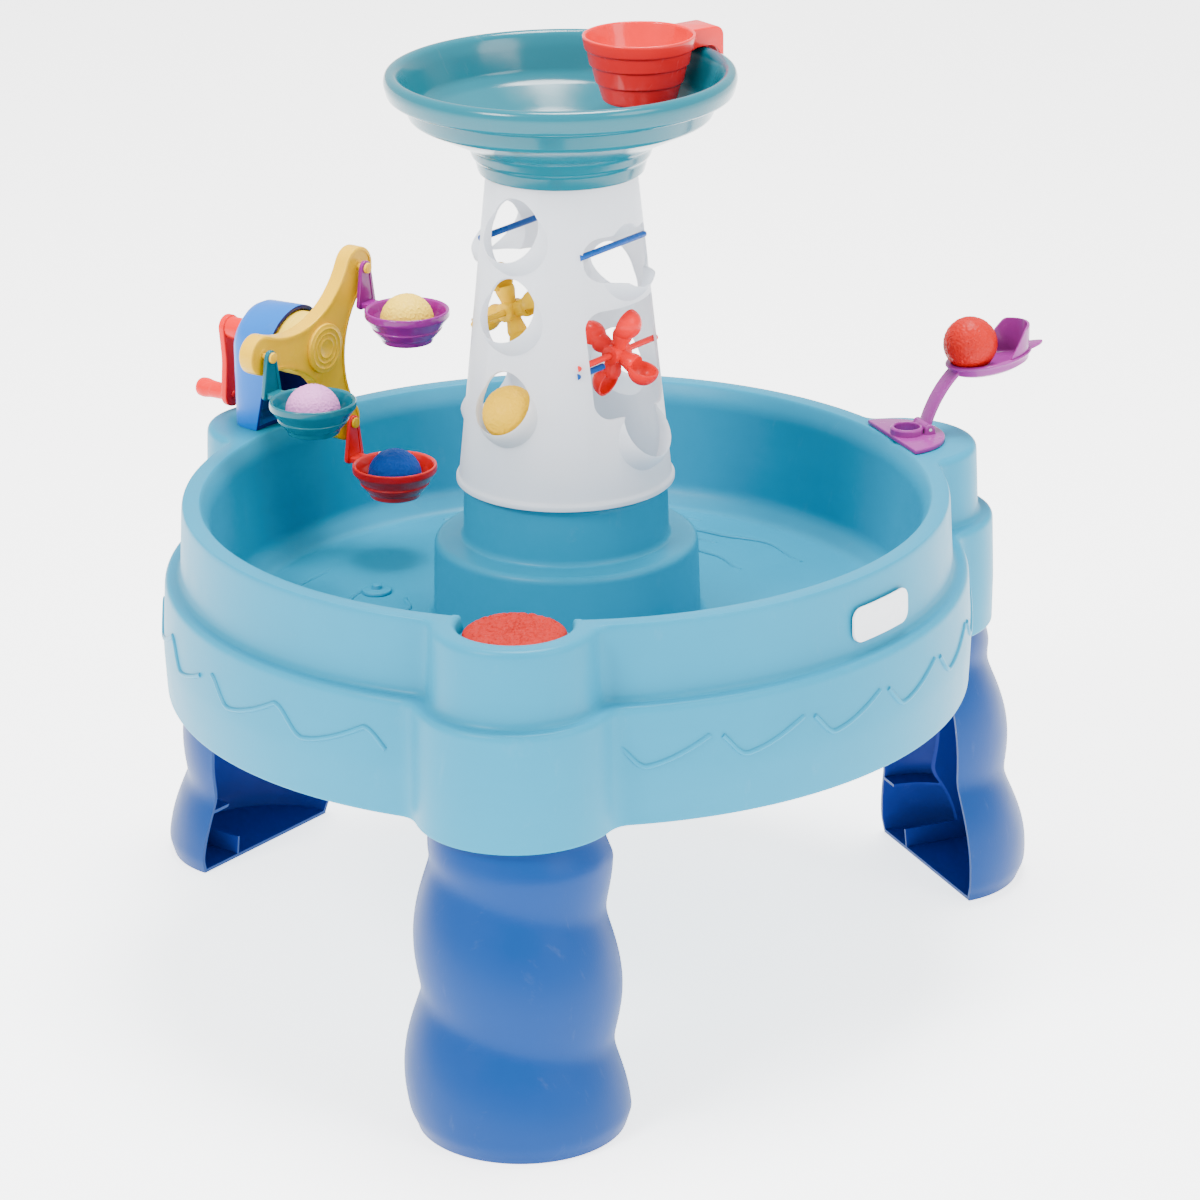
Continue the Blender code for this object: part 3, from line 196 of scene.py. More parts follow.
def prism(name, outline, low, high, place=None, soft=0.0):
    """Solid extruded from a closed (x, y) outline, its edges softened by a bevel of `soft`."""
    bm = bmesh.new()
    face = bm.faces.new([bm.verts.new((x, y, low)) for x, y in outline])
    grown = bmesh.ops.extrude_face_region(bm, geom=[face])["geom"]
    tops = [item for item in grown if isinstance(item, bmesh.types.BMVert)]
    bmesh.ops.translate(bm, verts=tops, vec=(0, 0, high - low))
    bmesh.ops.recalc_face_normals(bm, faces=bm.faces)
    if soft:
        ends = [edge for edge in bm.edges if edge.calc_face_angle(0) > math.radians(50)]
        bmesh.ops.bevel(
            bm, geom=ends, offset=soft, segments=3, profile=0.5, affect="EDGES", material=-1, clamp_overlap=True
        )
    return to_object(bm, name, place)


def box(name, low, high, place=None, soft=0.0):
    outline = [(low[0], low[1]), (high[0], low[1]), (high[0], high[1]), (low[0], high[1])]
    return prism(name, outline, low[2], high[2], place, soft)


def rod(name, radius, low, high, steps=48, place=None, soft=0.0004):
    return turned(name, [(0, high), (radius, high), (radius, low), (0, low)], steps, place, soft)


def globe(name, radius, place=None, steps=48):
    bm = bmesh.new()
    bmesh.ops.create_uvsphere(bm, u_segments=steps, v_segments=steps // 2, radius=radius)
    return to_object(bm, name, place)


def combine(thing, operation, tools):
    """Boolean the tools into the thing: exact first, and by the manifold solver where that leaves gaps."""
    for tool in tools:
        before = thing.data.copy()
        for solver in ("EXACT", "MANIFOLD"):
            thing.data = before.copy()
            modifier = thing.modifiers.new("shape", "BOOLEAN")
            modifier.operation = operation
            modifier.solver = solver
            modifier.object = tool
            bake(thing)
            if is_closed(thing.data):
                break
        bpy.data.objects.remove(tool)
    return thing


def add(thing, *tools):
    return combine(thing, "UNION", tools)


def cut(thing, *tools):
    return combine(thing, "DIFFERENCE", tools)


def keep(thing, *tools):
    return combine(thing, "INTERSECT", tools)


def is_closed(mesh):
    bm = bmesh.new()
    bm.from_mesh(mesh)
    whole = bool(bm.faces) and all(edge.is_manifold for edge in bm.edges)
    bm.free()
    return whole


def bake(thing):
    """Make the modifiers' result the mesh itself."""
    bpy.context.view_layer.update()
    graph = bpy.context.evaluated_depsgraph_get()
    mesh = bpy.data.meshes.new_from_object(thing.evaluated_get(graph))
    thing.modifiers.clear()
    thing.data = mesh


def ease_edges(thing, width, angle=40, segments=2):
    """Round every edge sharper than `angle` degrees."""
    modifier = thing.modifiers.new("ease", "BEVEL")
    modifier.width = width
    modifier.segments = segments
    modifier.limit_method = "ANGLE"
    modifier.angle_limit = math.radians(angle)
    modifier.use_clamp_overlap = True
    modifier.loop_slide = False
    bake(thing)
    return thing


def arc(centre, radius, start, end, count):
    angles = [start + (end - start) * step / count for step in range(count + 1)]
    return [(centre[0] + radius * math.cos(angle), centre[1] + radius * math.sin(angle)) for angle in angles]


def rounded_rectangle(half_width, half_height, radius, count=8):
    points = []
    for quarter, (sx, sy) in enumerate(((1, 1), (-1, 1), (-1, -1), (1, -1))):
        centre = (sx * (half_width - radius), sy * (half_height - radius))
        points += arc(centre, radius, quarter * math.pi / 2, (quarter + 1) * math.pi / 2, count)
    return points


def tube(name, points, radius, place=None, closed=False):
    """Round bead that follows the points."""
    curve = bpy.data.curves.new(name, "CURVE")
    curve.dimensions = "3D"
    curve.bevel_depth = radius
    curve.bevel_resolution = 3
    curve.use_fill_caps = True
    spline = curve.splines.new("POLY")
    spline.points.add(len(points) - 1)
    for knot, point in zip(spline.points, points):
        knot.co = (*point, 1)
    spline.use_cyclic_u = closed
    thing = bpy.data.objects.new(name, curve)
    bpy.context.scene.collection.objects.link(thing)
    bpy.context.view_layer.update()
    graph = bpy.context.evaluated_depsgraph_get()
    mesh = bpy.data.meshes.new_from_object(thing.evaluated_get(graph))
    bpy.data.objects.remove(thing)
    made = bpy.data.objects.new(name, mesh)
    bpy.context.scene.collection.objects.link(made)
    if place is not None:
        made.data.transform(place)
    return made


def two_finishes(thing, finishes):
    thing.data.materials.clear()
    for item in finishes:
        thing.data.materials.append(item)


def show(thing, finish, body, nodes=(), slot=None, place=None, crease=35):
    """Lay a finished piece in place, give it its finish, and let it ride on its body."""
    if place is not None:
        thing.data.transform(place)
    finishes = finish if isinstance(finish, list) else [finish]
    if len(finishes) == 1:
        thing.data.materials.clear()
        for polygon in thing.data.polygons:
            polygon.material_index = 0
        thing.data.materials.append(finishes[0])
    thing.data.shade_smooth()
    thing.data.set_sharp_from_angle(angle=math.radians(crease))
    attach(thing, body)
    if nodes:
        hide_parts(*nodes)
    slot or nodes[0]
    return thing


# ---- Finishes ----------------------------------------------------------------------------


class Wire:
    """A node's output that takes part in Python expressions."""

    def __init__(self, finish, socket):
        self.finish = finish
        self.socket = socket

    def maths(self, operation, *values):
        made = self.finish.tree.nodes.new("ShaderNodeMath")
        made.operation = operation
        for socket, value in zip(made.inputs, values):
            if isinstance(value, Wire):
                self.finish.tree.links.new(value.socket, socket)
            else:
                socket.default_value = value
        return Wire(self.finish, made.outputs[0])

    def __add__(self, other):
        return self.maths("ADD", self, other)

    def __radd__(self, other):
        return self.maths("ADD", other, self)

    def __sub__(self, other):
        return self.maths("SUBTRACT", self, other)

    def __rsub__(self, other):
        return self.maths("SUBTRACT", other, self)

    def __mul__(self, other):
        return self.maths("MULTIPLY", self, other)

    def __rmul__(self, other):
        return self.maths("MULTIPLY", other, self)

    def __pow__(self, power):
        return self.maths("POWER", self, power)

    def __gt__(self, other):
        return self.maths("GREATER_THAN", self, other)


class Finish:
    """A material, and the one method that adds its nodes."""

    def __init__(self, name):
        self.material = bpy.data.materials.new(name)
        self.material.use_nodes = True
        self.tree = self.material.node_tree
        self.tree.nodes.clear()
        self.place = self.node("ShaderNodeTexCoord", {}, {}, "Object")

    def node(self, kind, settings, sockets, output=0):
        """A new node's output: its settings are made first, then its sockets' values or links."""
        made = self.tree.nodes.new(kind)
        for name, value in settings.items():
            if name == "stops":
                self.set_stops(made.color_ramp, value)
            else:
                setattr(made, name, value)
        for name, value in sockets.items():
            if isinstance(value, Wire):
                self.tree.links.new(value.socket, made.inputs[name])
            else:
                made.inputs[name].default_value = value
        return Wire(self, made.outputs[output])

    def set_stops(self, ramp, stops):
        while len(ramp.elements) < len(stops):
            ramp.elements.new(1.0)
        for element, (position, level) in zip(ramp.elements, stops):
            element.position = position
            element.color = (level, level, level, 1)

    def noise(self, scale, detail=2.0, stretch=(1, 1, 1), rough=0.5):
        place = self.place
        if stretch != (1, 1, 1):
            place = self.node("ShaderNodeVectorMath", {"operation": "MULTIPLY"}, {0: self.place, 1: stretch})
        sockets = {"Vector": place, "Scale": scale, "Detail": detail, "Roughness": rough}
        return self.node("ShaderNodeTexNoise", {}, sockets)

    def ramp(self, value, *stops):
        return self.node("ShaderNodeValToRGB", {"stops": stops}, {"Fac": value})

    def mix(self, factor, first, second):
        """Colour between two others."""
        sockets = {6: first, 7: second, 0: factor}
        return self.node("ShaderNodeMix", {"data_type": "RGBA"}, sockets, 2)

    def close(self, shader):
        self.tree.links.new(shader.socket, self.tree.nodes.new("ShaderNodeOutputMaterial").inputs["Surface"])
        return self.material


def rgba(colour):
    return (*colour, 1.0)


def tinted(colour, factor):
    return tuple(min(1.0, channel * factor) for channel in colour)


def moulded(name, colour, roughness=0.34, grain=0.12, pale=0.10, soft=0.0, clear=0.0, shine=0.15):
    """Injection or blow moulded plastic: cloudy tone, faint rubs, flow lines and a fine skin grain."""
    finish = Finish(name)
    cloud = finish.noise(5.5, 3.0)
    mottle = finish.noise(42.0, 2.0)
    flow = finish.noise(14.0, 4.0, (1, 1, 5))
    rubs = finish.ramp(finish.noise(26.0, 6.0, (1, 5, 1), 0.7), (0.60, 0.0), (0.74, 1.0))
    tone = cloud * 0.55 + mottle * 0.20 + flow * 0.25
    base = finish.mix(tone, rgba(tinted(colour, 1 - pale)), rgba(tinted(colour, 1 + pale)))
    worn = tuple(channel + (1 - channel) * 0.30 for channel in colour)
    base = finish.mix(rubs * 0.05, base, rgba(worn))
    skin = finish.noise(900.0, 2.0)
    height = skin + flow * 0.35 + mottle * 0.3
    sockets = {"Height": height, "Strength": grain, "Distance": 0.0006}
    bump = finish.node("ShaderNodeBump", {}, sockets)
    values = {
        "Base Color": base,
        "Roughness": roughness + (mottle - 0.5) * 0.10 + rubs * 0.10,
        "Normal": bump,
        "IOR": 1.49,
        "Specular IOR Level": shine,
        "Coat Weight": clear,
        "Coat Roughness": 0.06,
    }
    if soft:
        values["Subsurface Weight"] = soft
        values["Subsurface Radius"] = (0.6, 0.9, 1.0)
        values["Subsurface Scale"] = 0.006
    return finish.close(finish.node("ShaderNodeBsdfPrincipled", {}, values))


def milky(name, colour):
    """Translucent milky plastic that glows where light falls on its far side."""
    finish = Finish(name)
    cloud = finish.noise(9.0, 3.0)
    flow = finish.noise(20.0, 4.0, (1, 1, 4))
    base = finish.mix(cloud * 0.6 + flow * 0.4, rgba(tinted(colour, 0.94)), rgba(tinted(colour, 1.04)))
    bump = finish.node(
        "ShaderNodeBump", {}, {"Height": finish.noise(700.0, 2.0) + flow, "Strength": 0.10, "Distance": 0.0006}
    )
    skin = finish.node(
        "ShaderNodeBsdfPrincipled",
        {},
        {"Base Color": base, "Roughness": 0.30 + (cloud - 0.5) * 0.1, "Normal": bump, "IOR": 1.49},
    )
    glow = finish.node("ShaderNodeBsdfTranslucent", {}, {"Color": rgba(colour)})
    clear = finish.node("ShaderNodeBsdfTransparent", {}, {"Color": rgba((0.97, 0.975, 0.985))})
    thick = finish.node("ShaderNodeMixShader", {}, {0: 0.42, 1: skin, 2: glow})
    return finish.close(finish.node("ShaderNodeMixShader", {}, {0: 0.10, 1: thick, 2: clear}))


def brushed(name):
    """Bright zinc-plated steel with fine turning marks."""
    finish = Finish(name)
    marks = finish.noise(300.0, 3.0, (1, 1, 14))
    base = finish.mix(marks, rgba((0.50, 0.51, 0.53)), rgba((0.68, 0.69, 0.70)))
    bump = finish.node("ShaderNodeBump", {}, {"Height": marks, "Strength": 0.2, "Distance": 0.0003})
    values = {"Base Color": base, "Roughness": 0.24 + marks * 0.16, "Metallic": 1.0, "Normal": bump}
    return finish.close(finish.node("ShaderNodeBsdfPrincipled", {}, values))


SKY = (0.0, 0.210, 0.345)
LEG_BLUE = (0.0, 0.036, 0.170)
# Darker navy copy of the leg blue: painted shade for the faces inside the legs' hollows
LEG_HOLLOW_SHADE_NAVY = (0.010, 0.030, 0.230)
TEAL = (0.0, 0.110, 0.150)
RED = (0.720, 0.006, 0.008)
GOLD = (0.760, 0.430, 0.0)
PALE_GOLD = (0.850, 0.560, 0.045)
ORCHID = (0.230, 0.022, 0.200)
MAGENTA = (0.420, 0.008, 0.220)
PURPLE = (0.210, 0.008, 0.180)
ROD_BLUE = (0.0, 0.060, 0.270)
BRACKET_BLUE = (0.0, 0.130, 0.520)
PINK = (0.600, 0.220, 0.520)
BALL_BLUE = (0.0, 0.075, 0.420)
CORAL = (0.420, 0.003, 0.001)
WHITE = (0.80, 0.82, 0.85)


# ---- Basin -------------------------------------------------------------------------------


def blended(first, second, softness):
    """The smaller of two distances, eased where they are close."""
    near = max(softness - abs(first - second), 0) / softness
    return min(first, second) - near * near * softness / 4


def basin_edge(angle, body_r, lobe_r):
    """Distance from the axis to the outline of the round body joined with its three lobes."""
    if lobe_r <= 0:
        return body_r
    nearest = min(STATION.values(), key=lambda azimuth: abs(wrapped(angle - math.radians(azimuth))))
    off = wrapped(angle - math.radians(nearest))
    if abs(off) > math.radians(30):
        return body_r
    near, far = body_r - 0.02, LOBE_R + lobe_r + 0.02
    for _ in range(22):
        middle = (near + far) / 2
        to_lobe = math.hypot(middle * math.cos(off) - LOBE_R, middle * math.sin(off)) - lobe_r
        if blended(middle - body_r, to_lobe, LOBE_BLEND) < 0:
            near = middle
        else:
            far = middle
    return (near + far) / 2


def wrapped(angle):
    return (angle + math.pi) % (2 * math.pi) - math.pi


def basin_angles():
    """Azimuths of the basin's columns, close together round each lobe."""
    angles = []
    lobe_half = math.radians(21)
    for azimuth in STATION.values():
        start = math.radians(azimuth) - lobe_half
        angles += [start + 2 * lobe_half * step / 72 for step in range(72)]
        rest = math.radians(120) - 2 * lobe_half
        angles += [start + 2 * lobe_half + rest * step / 48 for step in range(48)]
    return angles


def basin_levels():
    """(body radius, lobe radius, height) from the island's top, over the rim, under and back."""
    upper = [
        (0, 0, ISLAND_TOP_Z),
        (0.0884, 0, ISLAND_TOP_Z),
        (0.0896, 0, 0.3900),
        (0.0915, 0, 0.3858),
        (0.1150, 0, 0.3848),
        (0.1170, 0, 0.3160),
        (0.1215, 0, PAN_FLOOR_Z),
        (0.2880, 0, PAN_FLOOR_Z),
        (0.3010, 0, PAN_FLOOR_Z + 0.016),
        (PAN_R, 0, RIM_Z - 0.014),
        (0.3170, 0, RIM_Z),
        (0.3335, 0.0680, RIM_Z),
        (0.3370, 0.0705, LEDGE_Z),
        (0.3505, 0.0838, LEDGE_Z - 0.0005),
        (0.3540, 0.0855, 0.3000),
        (0.3520, 0.0850, SKIRT_Z),
    ]
    under = [
        (0.3480, 0.0810, SKIRT_Z),
        (0.3500, 0.0815, 0.3000),
        (0.3468, 0.0800, LEDGE_Z - 0.0060),
        (0.3330, 0.0668, LEDGE_Z - 0.0050),
        (0.3300, 0.0645, RIM_Z - WALL),
        (0.3220, 0.0400, RIM_Z - WALL),
        (0.3150, 0, RIM_Z - 0.016),
        (0.3055, 0, PAN_FLOOR_Z + 0.014),
        (0.2920, 0, PAN_FLOOR_Z - WALL),
        (0.1175, 0, PAN_FLOOR_Z - WALL),
        (0.1130, 0, 0.3810),
        (0.0860, 0, 0.3820),
        (0.0845, 0, ISLAND_TOP_Z - WALL),
        (0, 0, ISLAND_TOP_Z - WALL),
    ]
    return softened(upper + under, 0.0070, 7)


def make_basin(finish):
    angles = basin_angles()
    levels = basin_levels()

    def point(column, row):
        body_r, lobe_r, height = levels[row]
        angle = angles[column]
        reach = basin_edge(angle, body_r, lobe_r)
        return (reach * math.sin(angle), -reach * math.cos(angle), height)

    basin = surface("basin_shell", len(angles), len(levels) - 1, point)
    home = at(AXIS.x, AXIS.y)
    basin.data.transform(home)
    front = facing(STATION["front"]) @ at(LOBE_R)
    fill = rod("fill", SHELF_R + 0.007, 0.345, RIM_Z - 0.0012, 72, front, 0)
    cut(fill, rod("fill_limit", PAN_R + 0.0035, 0.30, 0.46, 160, home, 0))
    pedestal = turned(
        "pedestal",
        [(0, SHELF_Z), (SHELF_R - 0.001, SHELF_Z), (SHELF_R, SHELF_Z - 0.001), (SHELF_R, 0.307), (0, 0.307)],
        72,
        front,
        0,
    )
    flare = arc((SHELF_R + 0.0055, RIM_Z - 0.0055), 0.0055, math.pi, math.pi / 2, 6)
    notch = [(0, RIM_Z + 0.02), (SHELF_R + 0.0055, RIM_Z + 0.02), *flare[::-1], (SHELF_R, SHELF_Z), (0, SHELF_Z)]
    add(basin, fill, pedestal)
    cut(basin, turned("notch", notch, 96, front, 0))
    cut(basin, rod("drain_hole", 0.0098, 0.29, 0.33, 32, at(-0.1760 + AXIS.x, 0.0373 + AXIS.y), 0))
    cut(basin, rod("disc_socket", 0.0083, SHELF_Z - 0.02, SHELF_Z + 0.01, 32, front, 0))
    for name, azimuth in STATION.items():
        roof = SHELF_Z if name == "front" else RIM_Z
        add(basin, rod("boss", 0.008, LEG_TOP_Z + GAP, roof - WALL / 2, 24, facing(azimuth) @ at(SCREW_X), 0))
        cut(basin, rod("bore", 0.0025, LEG_TOP_Z - 0.01, LEG_TOP_Z + 0.022, 16, facing(azimuth) @ at(SCREW_X), 0))
    show(basin, finish, "table", ["basin"], crease=28)


def skirt_wave(turn, crest, pitch):
    """Height of the raised wave line: a short drop after each crest, then a long climb to the next."""
    phase = (turn - crest) / pitch % 1
    fall = 0.34
    if phase < fall:
        share = 0.5 + 0.5 * math.cos(math.pi * phase / fall)
    else:
        share = ((phase - fall) / (1 - fall)) ** 1.5
    return 0.3088 + 0.0225 * share


def make_wave_lines(finish):
    """Raised wave lines moulded on the skirt between the lobes, and low ripples on the pan's floor."""
    place = at(AXIS.x, AXIS.y)
    strokes = [(crest + 1.3, crest + 13.6, 27.0, 14.1) for crest in (12.9, 27.0, 41.1, 55.2, 69.3, 83.4)]
    strokes += [(-100.0, -54.0, -20.8, 15.2), (-50.5, -17.5, -20.8, 15.2)]
    strokes += [(crest + 1.3, crest + 13.6, 147.0, 14.1) for crest in (146.9, 161.0, 175.1, 189.2, 203.3)]
    for index, (start, end, crest, pitch) in enumerate(strokes):
        points = []
        count = round(end - start) * 5
        for step in range(count + 1):
            turn = start + (end - start) * step / count
            height = skirt_wave(turn, crest, pitch)
            reach = 0.3505 + 0.0035 * (LEDGE_Z - height) / 0.06 - 0.0004
            angle = math.radians(turn)
            points.append((reach * math.sin(angle), -reach * math.cos(angle), height))
        show(tube(f"skirt_wave_{index + 1}", points, 0.0023, place), finish, "table", slot="basin")
    ripples = ((0.148, 20, 62), (0.171, 35, 88), (0.196, 12, 70), (0.222, 30, 96), (0.246, 8, 64), (0.268, 40, 92))
    for index, (radius, start, end) in enumerate(ripples):
        for sector in range(3):
            points = []
            for step in range(97):
                turn = start + sector * 120 + (end - start) * step / 96
                sway = 0.0050 * math.sin(math.radians(turn * 9 + index * 70)) + 0.0022 * math.sin(math.radians(turn * 21))
                angle = math.radians(turn)
                taper = math.sin(math.pi * step / 96) ** 0.5
                depth = PAN_FLOOR_Z - 0.0020 + 0.0016 * taper
                points.append(((radius + sway) * math.sin(angle), -(radius + sway) * math.cos(angle), depth))
            name = f"floor_ripple_{index + 1}_{sector + 1}"
            show(tube(name, points, 0.0026, place), finish, "table", slot="basin")


def worm_relief(point, scale, share):
    """0 to 1: how far a point lies inside one of the winding ridges of a play ball's skin."""
    value = noise.noise(point * scale) + 0.35 * noise.noise(point * scale * 2.1)
    return max(0.0, 1 - abs(value) / share) ** 0.6


def make_disc(finish):
    base = SHELF_Z + GAP
    section = softened(
        [
            (0, base + 0.0100),
            (0.0375, base + 0.0095),
            (0.0418, base + 0.0070),
            (0.0430, base + 0.0040),
            (0.0420, base),
            (0.0080, base),
            (0.0070, base - 0.014),
            (0, base - 0.014),
        ],
        0.0012,
        3,
    )
    top = [(0.0375 * step / 46, base + 0.0100 - 0.0005 * step / 46) for step in range(46)]
    disc = turned("splash_disc_top", top + section[1:], 220, None, 0)
    for vert in disc.data.vertices:
        radius = math.hypot(vert.co.x, vert.co.y)
        if vert.co.z > base + 0.005 and radius < 0.0405:
            fade = min(1.0, (0.0405 - radius) / 0.003)
            vert.co.z += (0.0014 * worm_relief(vert.co, 190.0, 0.20) - 0.0004) * fade
    show(disc, finish, "splash_disc", ["splash_disc"], place=facing(0) @ at(LOBE_R), crease=50)


def make_drain_plug(finish):
    base = PAN_FLOOR_Z + GAP
    section = [
        (0, base + 0.0070),
        (0.0040, base + 0.0070),
        (0.0050, base + 0.0030),
        (0.0130, base + 0.0028),
        (0.0140, base),
        (0.0095, base),
        (0.0083, base - 0.012),
        (0, base - 0.012),
    ]
    plug = turned("drain_plug_look", section, 64)
    show(plug, finish, "drain_plug", ["drain_plug"], place=at(-0.1760 + AXIS.x, 0.0373 + AXIS.y))


def make_blank_plate(finish):
    """Plain rounded plate on the body's upper wall."""
    inner = 0.3373 + GAP
    section = [(inner - 0.0004, 0.4045), (inner + 0.0014, 0.4045), (inner + 0.0026, 0.3685), (inner + 0.0004, 0.3685)]
    outline = rounded_rectangle(*PLATE_HALF, 0.010)
    window = prism("plate_outline", outline, 0.30, 0.40, facing(PLATE_AZIMUTH) @ at(0, 0, 0.3865) @ ALONG_X)
    band = turned("blank_plate_look", section, 360, at(AXIS.x, AXIS.y), 0)
    show(keep(band, window), finish, "table", ["blank_plate"])


# ---- Legs --------------------------------------------------------------------------------


def leg_size(height, side):
    """Half width and depth of a leg at a height, `side` running from -1 to 1 across it."""
    spread = max(0.0, 1 - height / 0.245)
    half_width = 0.0800 + 0.0175 * spread
    depth = 0.0760 + 0.0190 * spread
    groove = LEG_GROOVE_Z - LEG_GROOVE_TILT * side
    wave = math.sin(math.pi * (height - groove) / LEG_PITCH) ** 2
    bulge = 0.86 + 0.14 * ((wave + 0.035) / 1.035) ** 0.45
    foot = 0.955 + 0.045 * min(1.0, height / 0.014)
    fade = min(1.0, max(0.0, (0.254 - height) / 0.022))
    factor = fade * bulge * foot + (1 - fade) * 0.90
    return half_width * factor - LEG_INSET, depth * factor - LEG_INSET


def leg_front(height):
    return 0.360 - 0.100 * min(height, 0.256)


def leg_form(name, shrink, low, high, rows=76, across=44):
    """Half-round wavy column, flat on its inner side, its surface drawn in by `shrink`."""
    columns = across + 1 + (2 if shrink else 0)

    def point(column, row):
        height = low + (high - low) * row / rows
        level = min(max(height, 0.0), LEG_TOP_Z)
        if column > across:
            side = 1 if column == across + 1 else -1
            half_width, _ = leg_size(level, side)
            return (leg_front(level) - 0.02, side * (half_width - shrink), height)
        angle = -math.pi / 2 + math.pi * column / across
        half_width, depth = leg_size(level, math.sin(angle))
        x = leg_front(level) + (depth - shrink) * math.cos(angle)
        return (x, (half_width - shrink) * math.sin(angle), height)

    return surface(name, columns, rows, point)


def make_leg(side, azimuth, finishes):
    leg = leg_form("leg_outer", 0.0, 0.0, LEG_TOP_Z)
    cut(leg, leg_form("leg_hollow", LEG_SKIN, LEG_SKIN, LEG_TOP_Z - LEG_SKIN))
    ribs = leg_form("ribs", LEG_SKIN / 2, LEG_SKIN / 2, LEG_TOP_Z - LEG_SKIN / 2)
    keep(ribs, leg_form("rib_limit", 0.0, 0.0, LEG_TOP_Z))
    lattice = box("shelf", (0.30, -0.12, 0.0585), (0.47, 0.12, 0.0615))
    for height in (0.118, 0.176, 0.234):
        tilt = at(0.36, 0, height) @ Matrix.Rotation(math.radians(9), 4, "X")
        add(lattice, box("shelf", (-0.06, -0.12, -0.0012), (0.11, 0.12, 0.0012), tilt))
    for across in (-0.045, -0.015, 0.015, 0.045):
        add(lattice, box("post", (0.30, across - 0.0012, 0.0), (0.47, across + 0.0012, 0.30)))
    keep(ribs, lattice)
    cut(ribs, leg_form("rib_core", LEG_SKIN + 0.020, LEG_SKIN + 0.018, LEG_TOP_Z + 0.01))
    add(leg, ribs)
    cut(leg, rod("screw_hole", 0.0025, LEG_TOP_Z - 0.02, LEG_TOP_Z + 0.01, 16, at(SCREW_X), 0))
    # Faces inside the leg's hollow take the second finish, a darker navy copy of the blue: painted shade of the hollow
    two_finishes(leg, finishes)
    for polygon in leg.data.polygons:
        x, y, z = polygon.center
        half_width, depth = leg_size(z, max(-1.0, min(1.0, y / 0.085)))
        inside = math.hypot((x - leg_front(z)) / (depth - 0.0008), y / (half_width - 0.0008)) < 1
        polygon.material_index = 1 if inside and x > leg_front(z) + 0.0001 else 0
    leg.name = f"{side}_leg_look"
    show(leg, finishes, "table", [f"{side}_leg"], place=facing(azimuth), crease=40)


# ---- Tower -------------------------------------------------------------------------------


def tower_radius(height):
    share = (TOWER_TOP_Z - height) / (TOWER_TOP_Z - TOWER_BASE_Z)
    return TOWER_TOP_R + (TOWER_BASE_R - TOWER_TOP_R) * share


def make_tower(finish):
    outer = [
        (0, TOWER_TOP_Z),
        (TOWER_TOP_R, TOWER_TOP_Z),
        (TOWER_BASE_R, TOWER_BASE_Z),
        (TOWER_BASE_R + 0.0006, TOWER_FOOT_Z + 0.0065),
        (0.0949, TOWER_FOOT_Z + 0.0045),
        (0.0949, TOWER_FOOT_Z),
        (0, TOWER_FOOT_Z),
    ]
    inner = [
        (0, TOWER_TOP_Z + 0.01),
        (TOWER_TOP_R - TOWER_SKIN - 0.001, TOWER_TOP_Z + 0.01),
        (TOWER_BASE_R - TOWER_SKIN, TOWER_BASE_Z),
        (TOWER_BASE_R - TOWER_SKIN, TOWER_FOOT_Z - 0.01),
        (0, TOWER_FOOT_Z - 0.01),
    ]
    tower = turned("tower_look", outer, 144, None, 0.0012)
    hollow = turned("tower_hollow", inner, 144, None, 0)
    pockets = [(azimuth, height) for azimuth in BALL_COLUMNS for height in BALL_POCKETS]
    pockets += [(azimuth, height) for azimuth in SPINNER_COLUMNS for height in SPINNER_POCKETS]
    home = at(-AXIS.x, -AXIS.y)
    mouths = []
    for azimuth, height in pockets:
        turn = home @ facing(azimuth)
        wall = tower_radius(height)
        seat = turn @ at(wall - BULGE_IN, 0, height - BULGE_DROP)
        add(tower, globe("bulge", BULGE_R, seat))
        add(hollow, globe("bulge_hollow", BULGE_R - TOWER_SKIN, seat))
        tilt = Matrix.Rotation(-POCKET_TILT, 4, "Y")
        mouths.append(rod("mouth", POCKET_R, -0.010, 0.060, 56, turn @ at(wall, 0, height + 0.002) @ tilt @ ALONG_X, 0))
    cut(tower, hollow)
    cut(tower, *mouths)
    for azimuth, middle in zip(SPINNER_COLUMNS, (RED_SPINNER_Z, YELLOW_SPINNER_Z)):
        turn = home @ facing(azimuth)
        outline = rounded_rectangle(*SPINNER_SLOT, 0.015)
        cut(tower, prism("slot", outline, 0.045, 0.14, turn @ at(0, 0, middle) @ ALONG_X))
    rod_window = rounded_rectangle(*ROD_SLOT, 0.015)
    turn = home @ facing(SPINNER_COLUMNS[0])
    cut(tower, prism("rod_window", rod_window, 0.045, 0.14, turn @ at(0, 0, ROD_SLOT_Z) @ ALONG_X))
    ease_edges(tower, 0.0005, 50)
    show(tower, finish, "table", ["tower_shell"], place=at(AXIS.x, AXIS.y), crease=40)


def chord_rod(name, node, reach, height, azimuth, finish, start=None):
    """Rod across the tower between its walls, or from `start` on to one wall."""
    half = math.sqrt(tower_radius(height) ** 2 - reach**2) - 0.0006
    bar = rod(name, ROD_R, -half if start is None else start, half, 40, UPRIGHT)
    show(bar, finish, "table", [node], place=facing(azimuth) @ at(reach, 0, height))


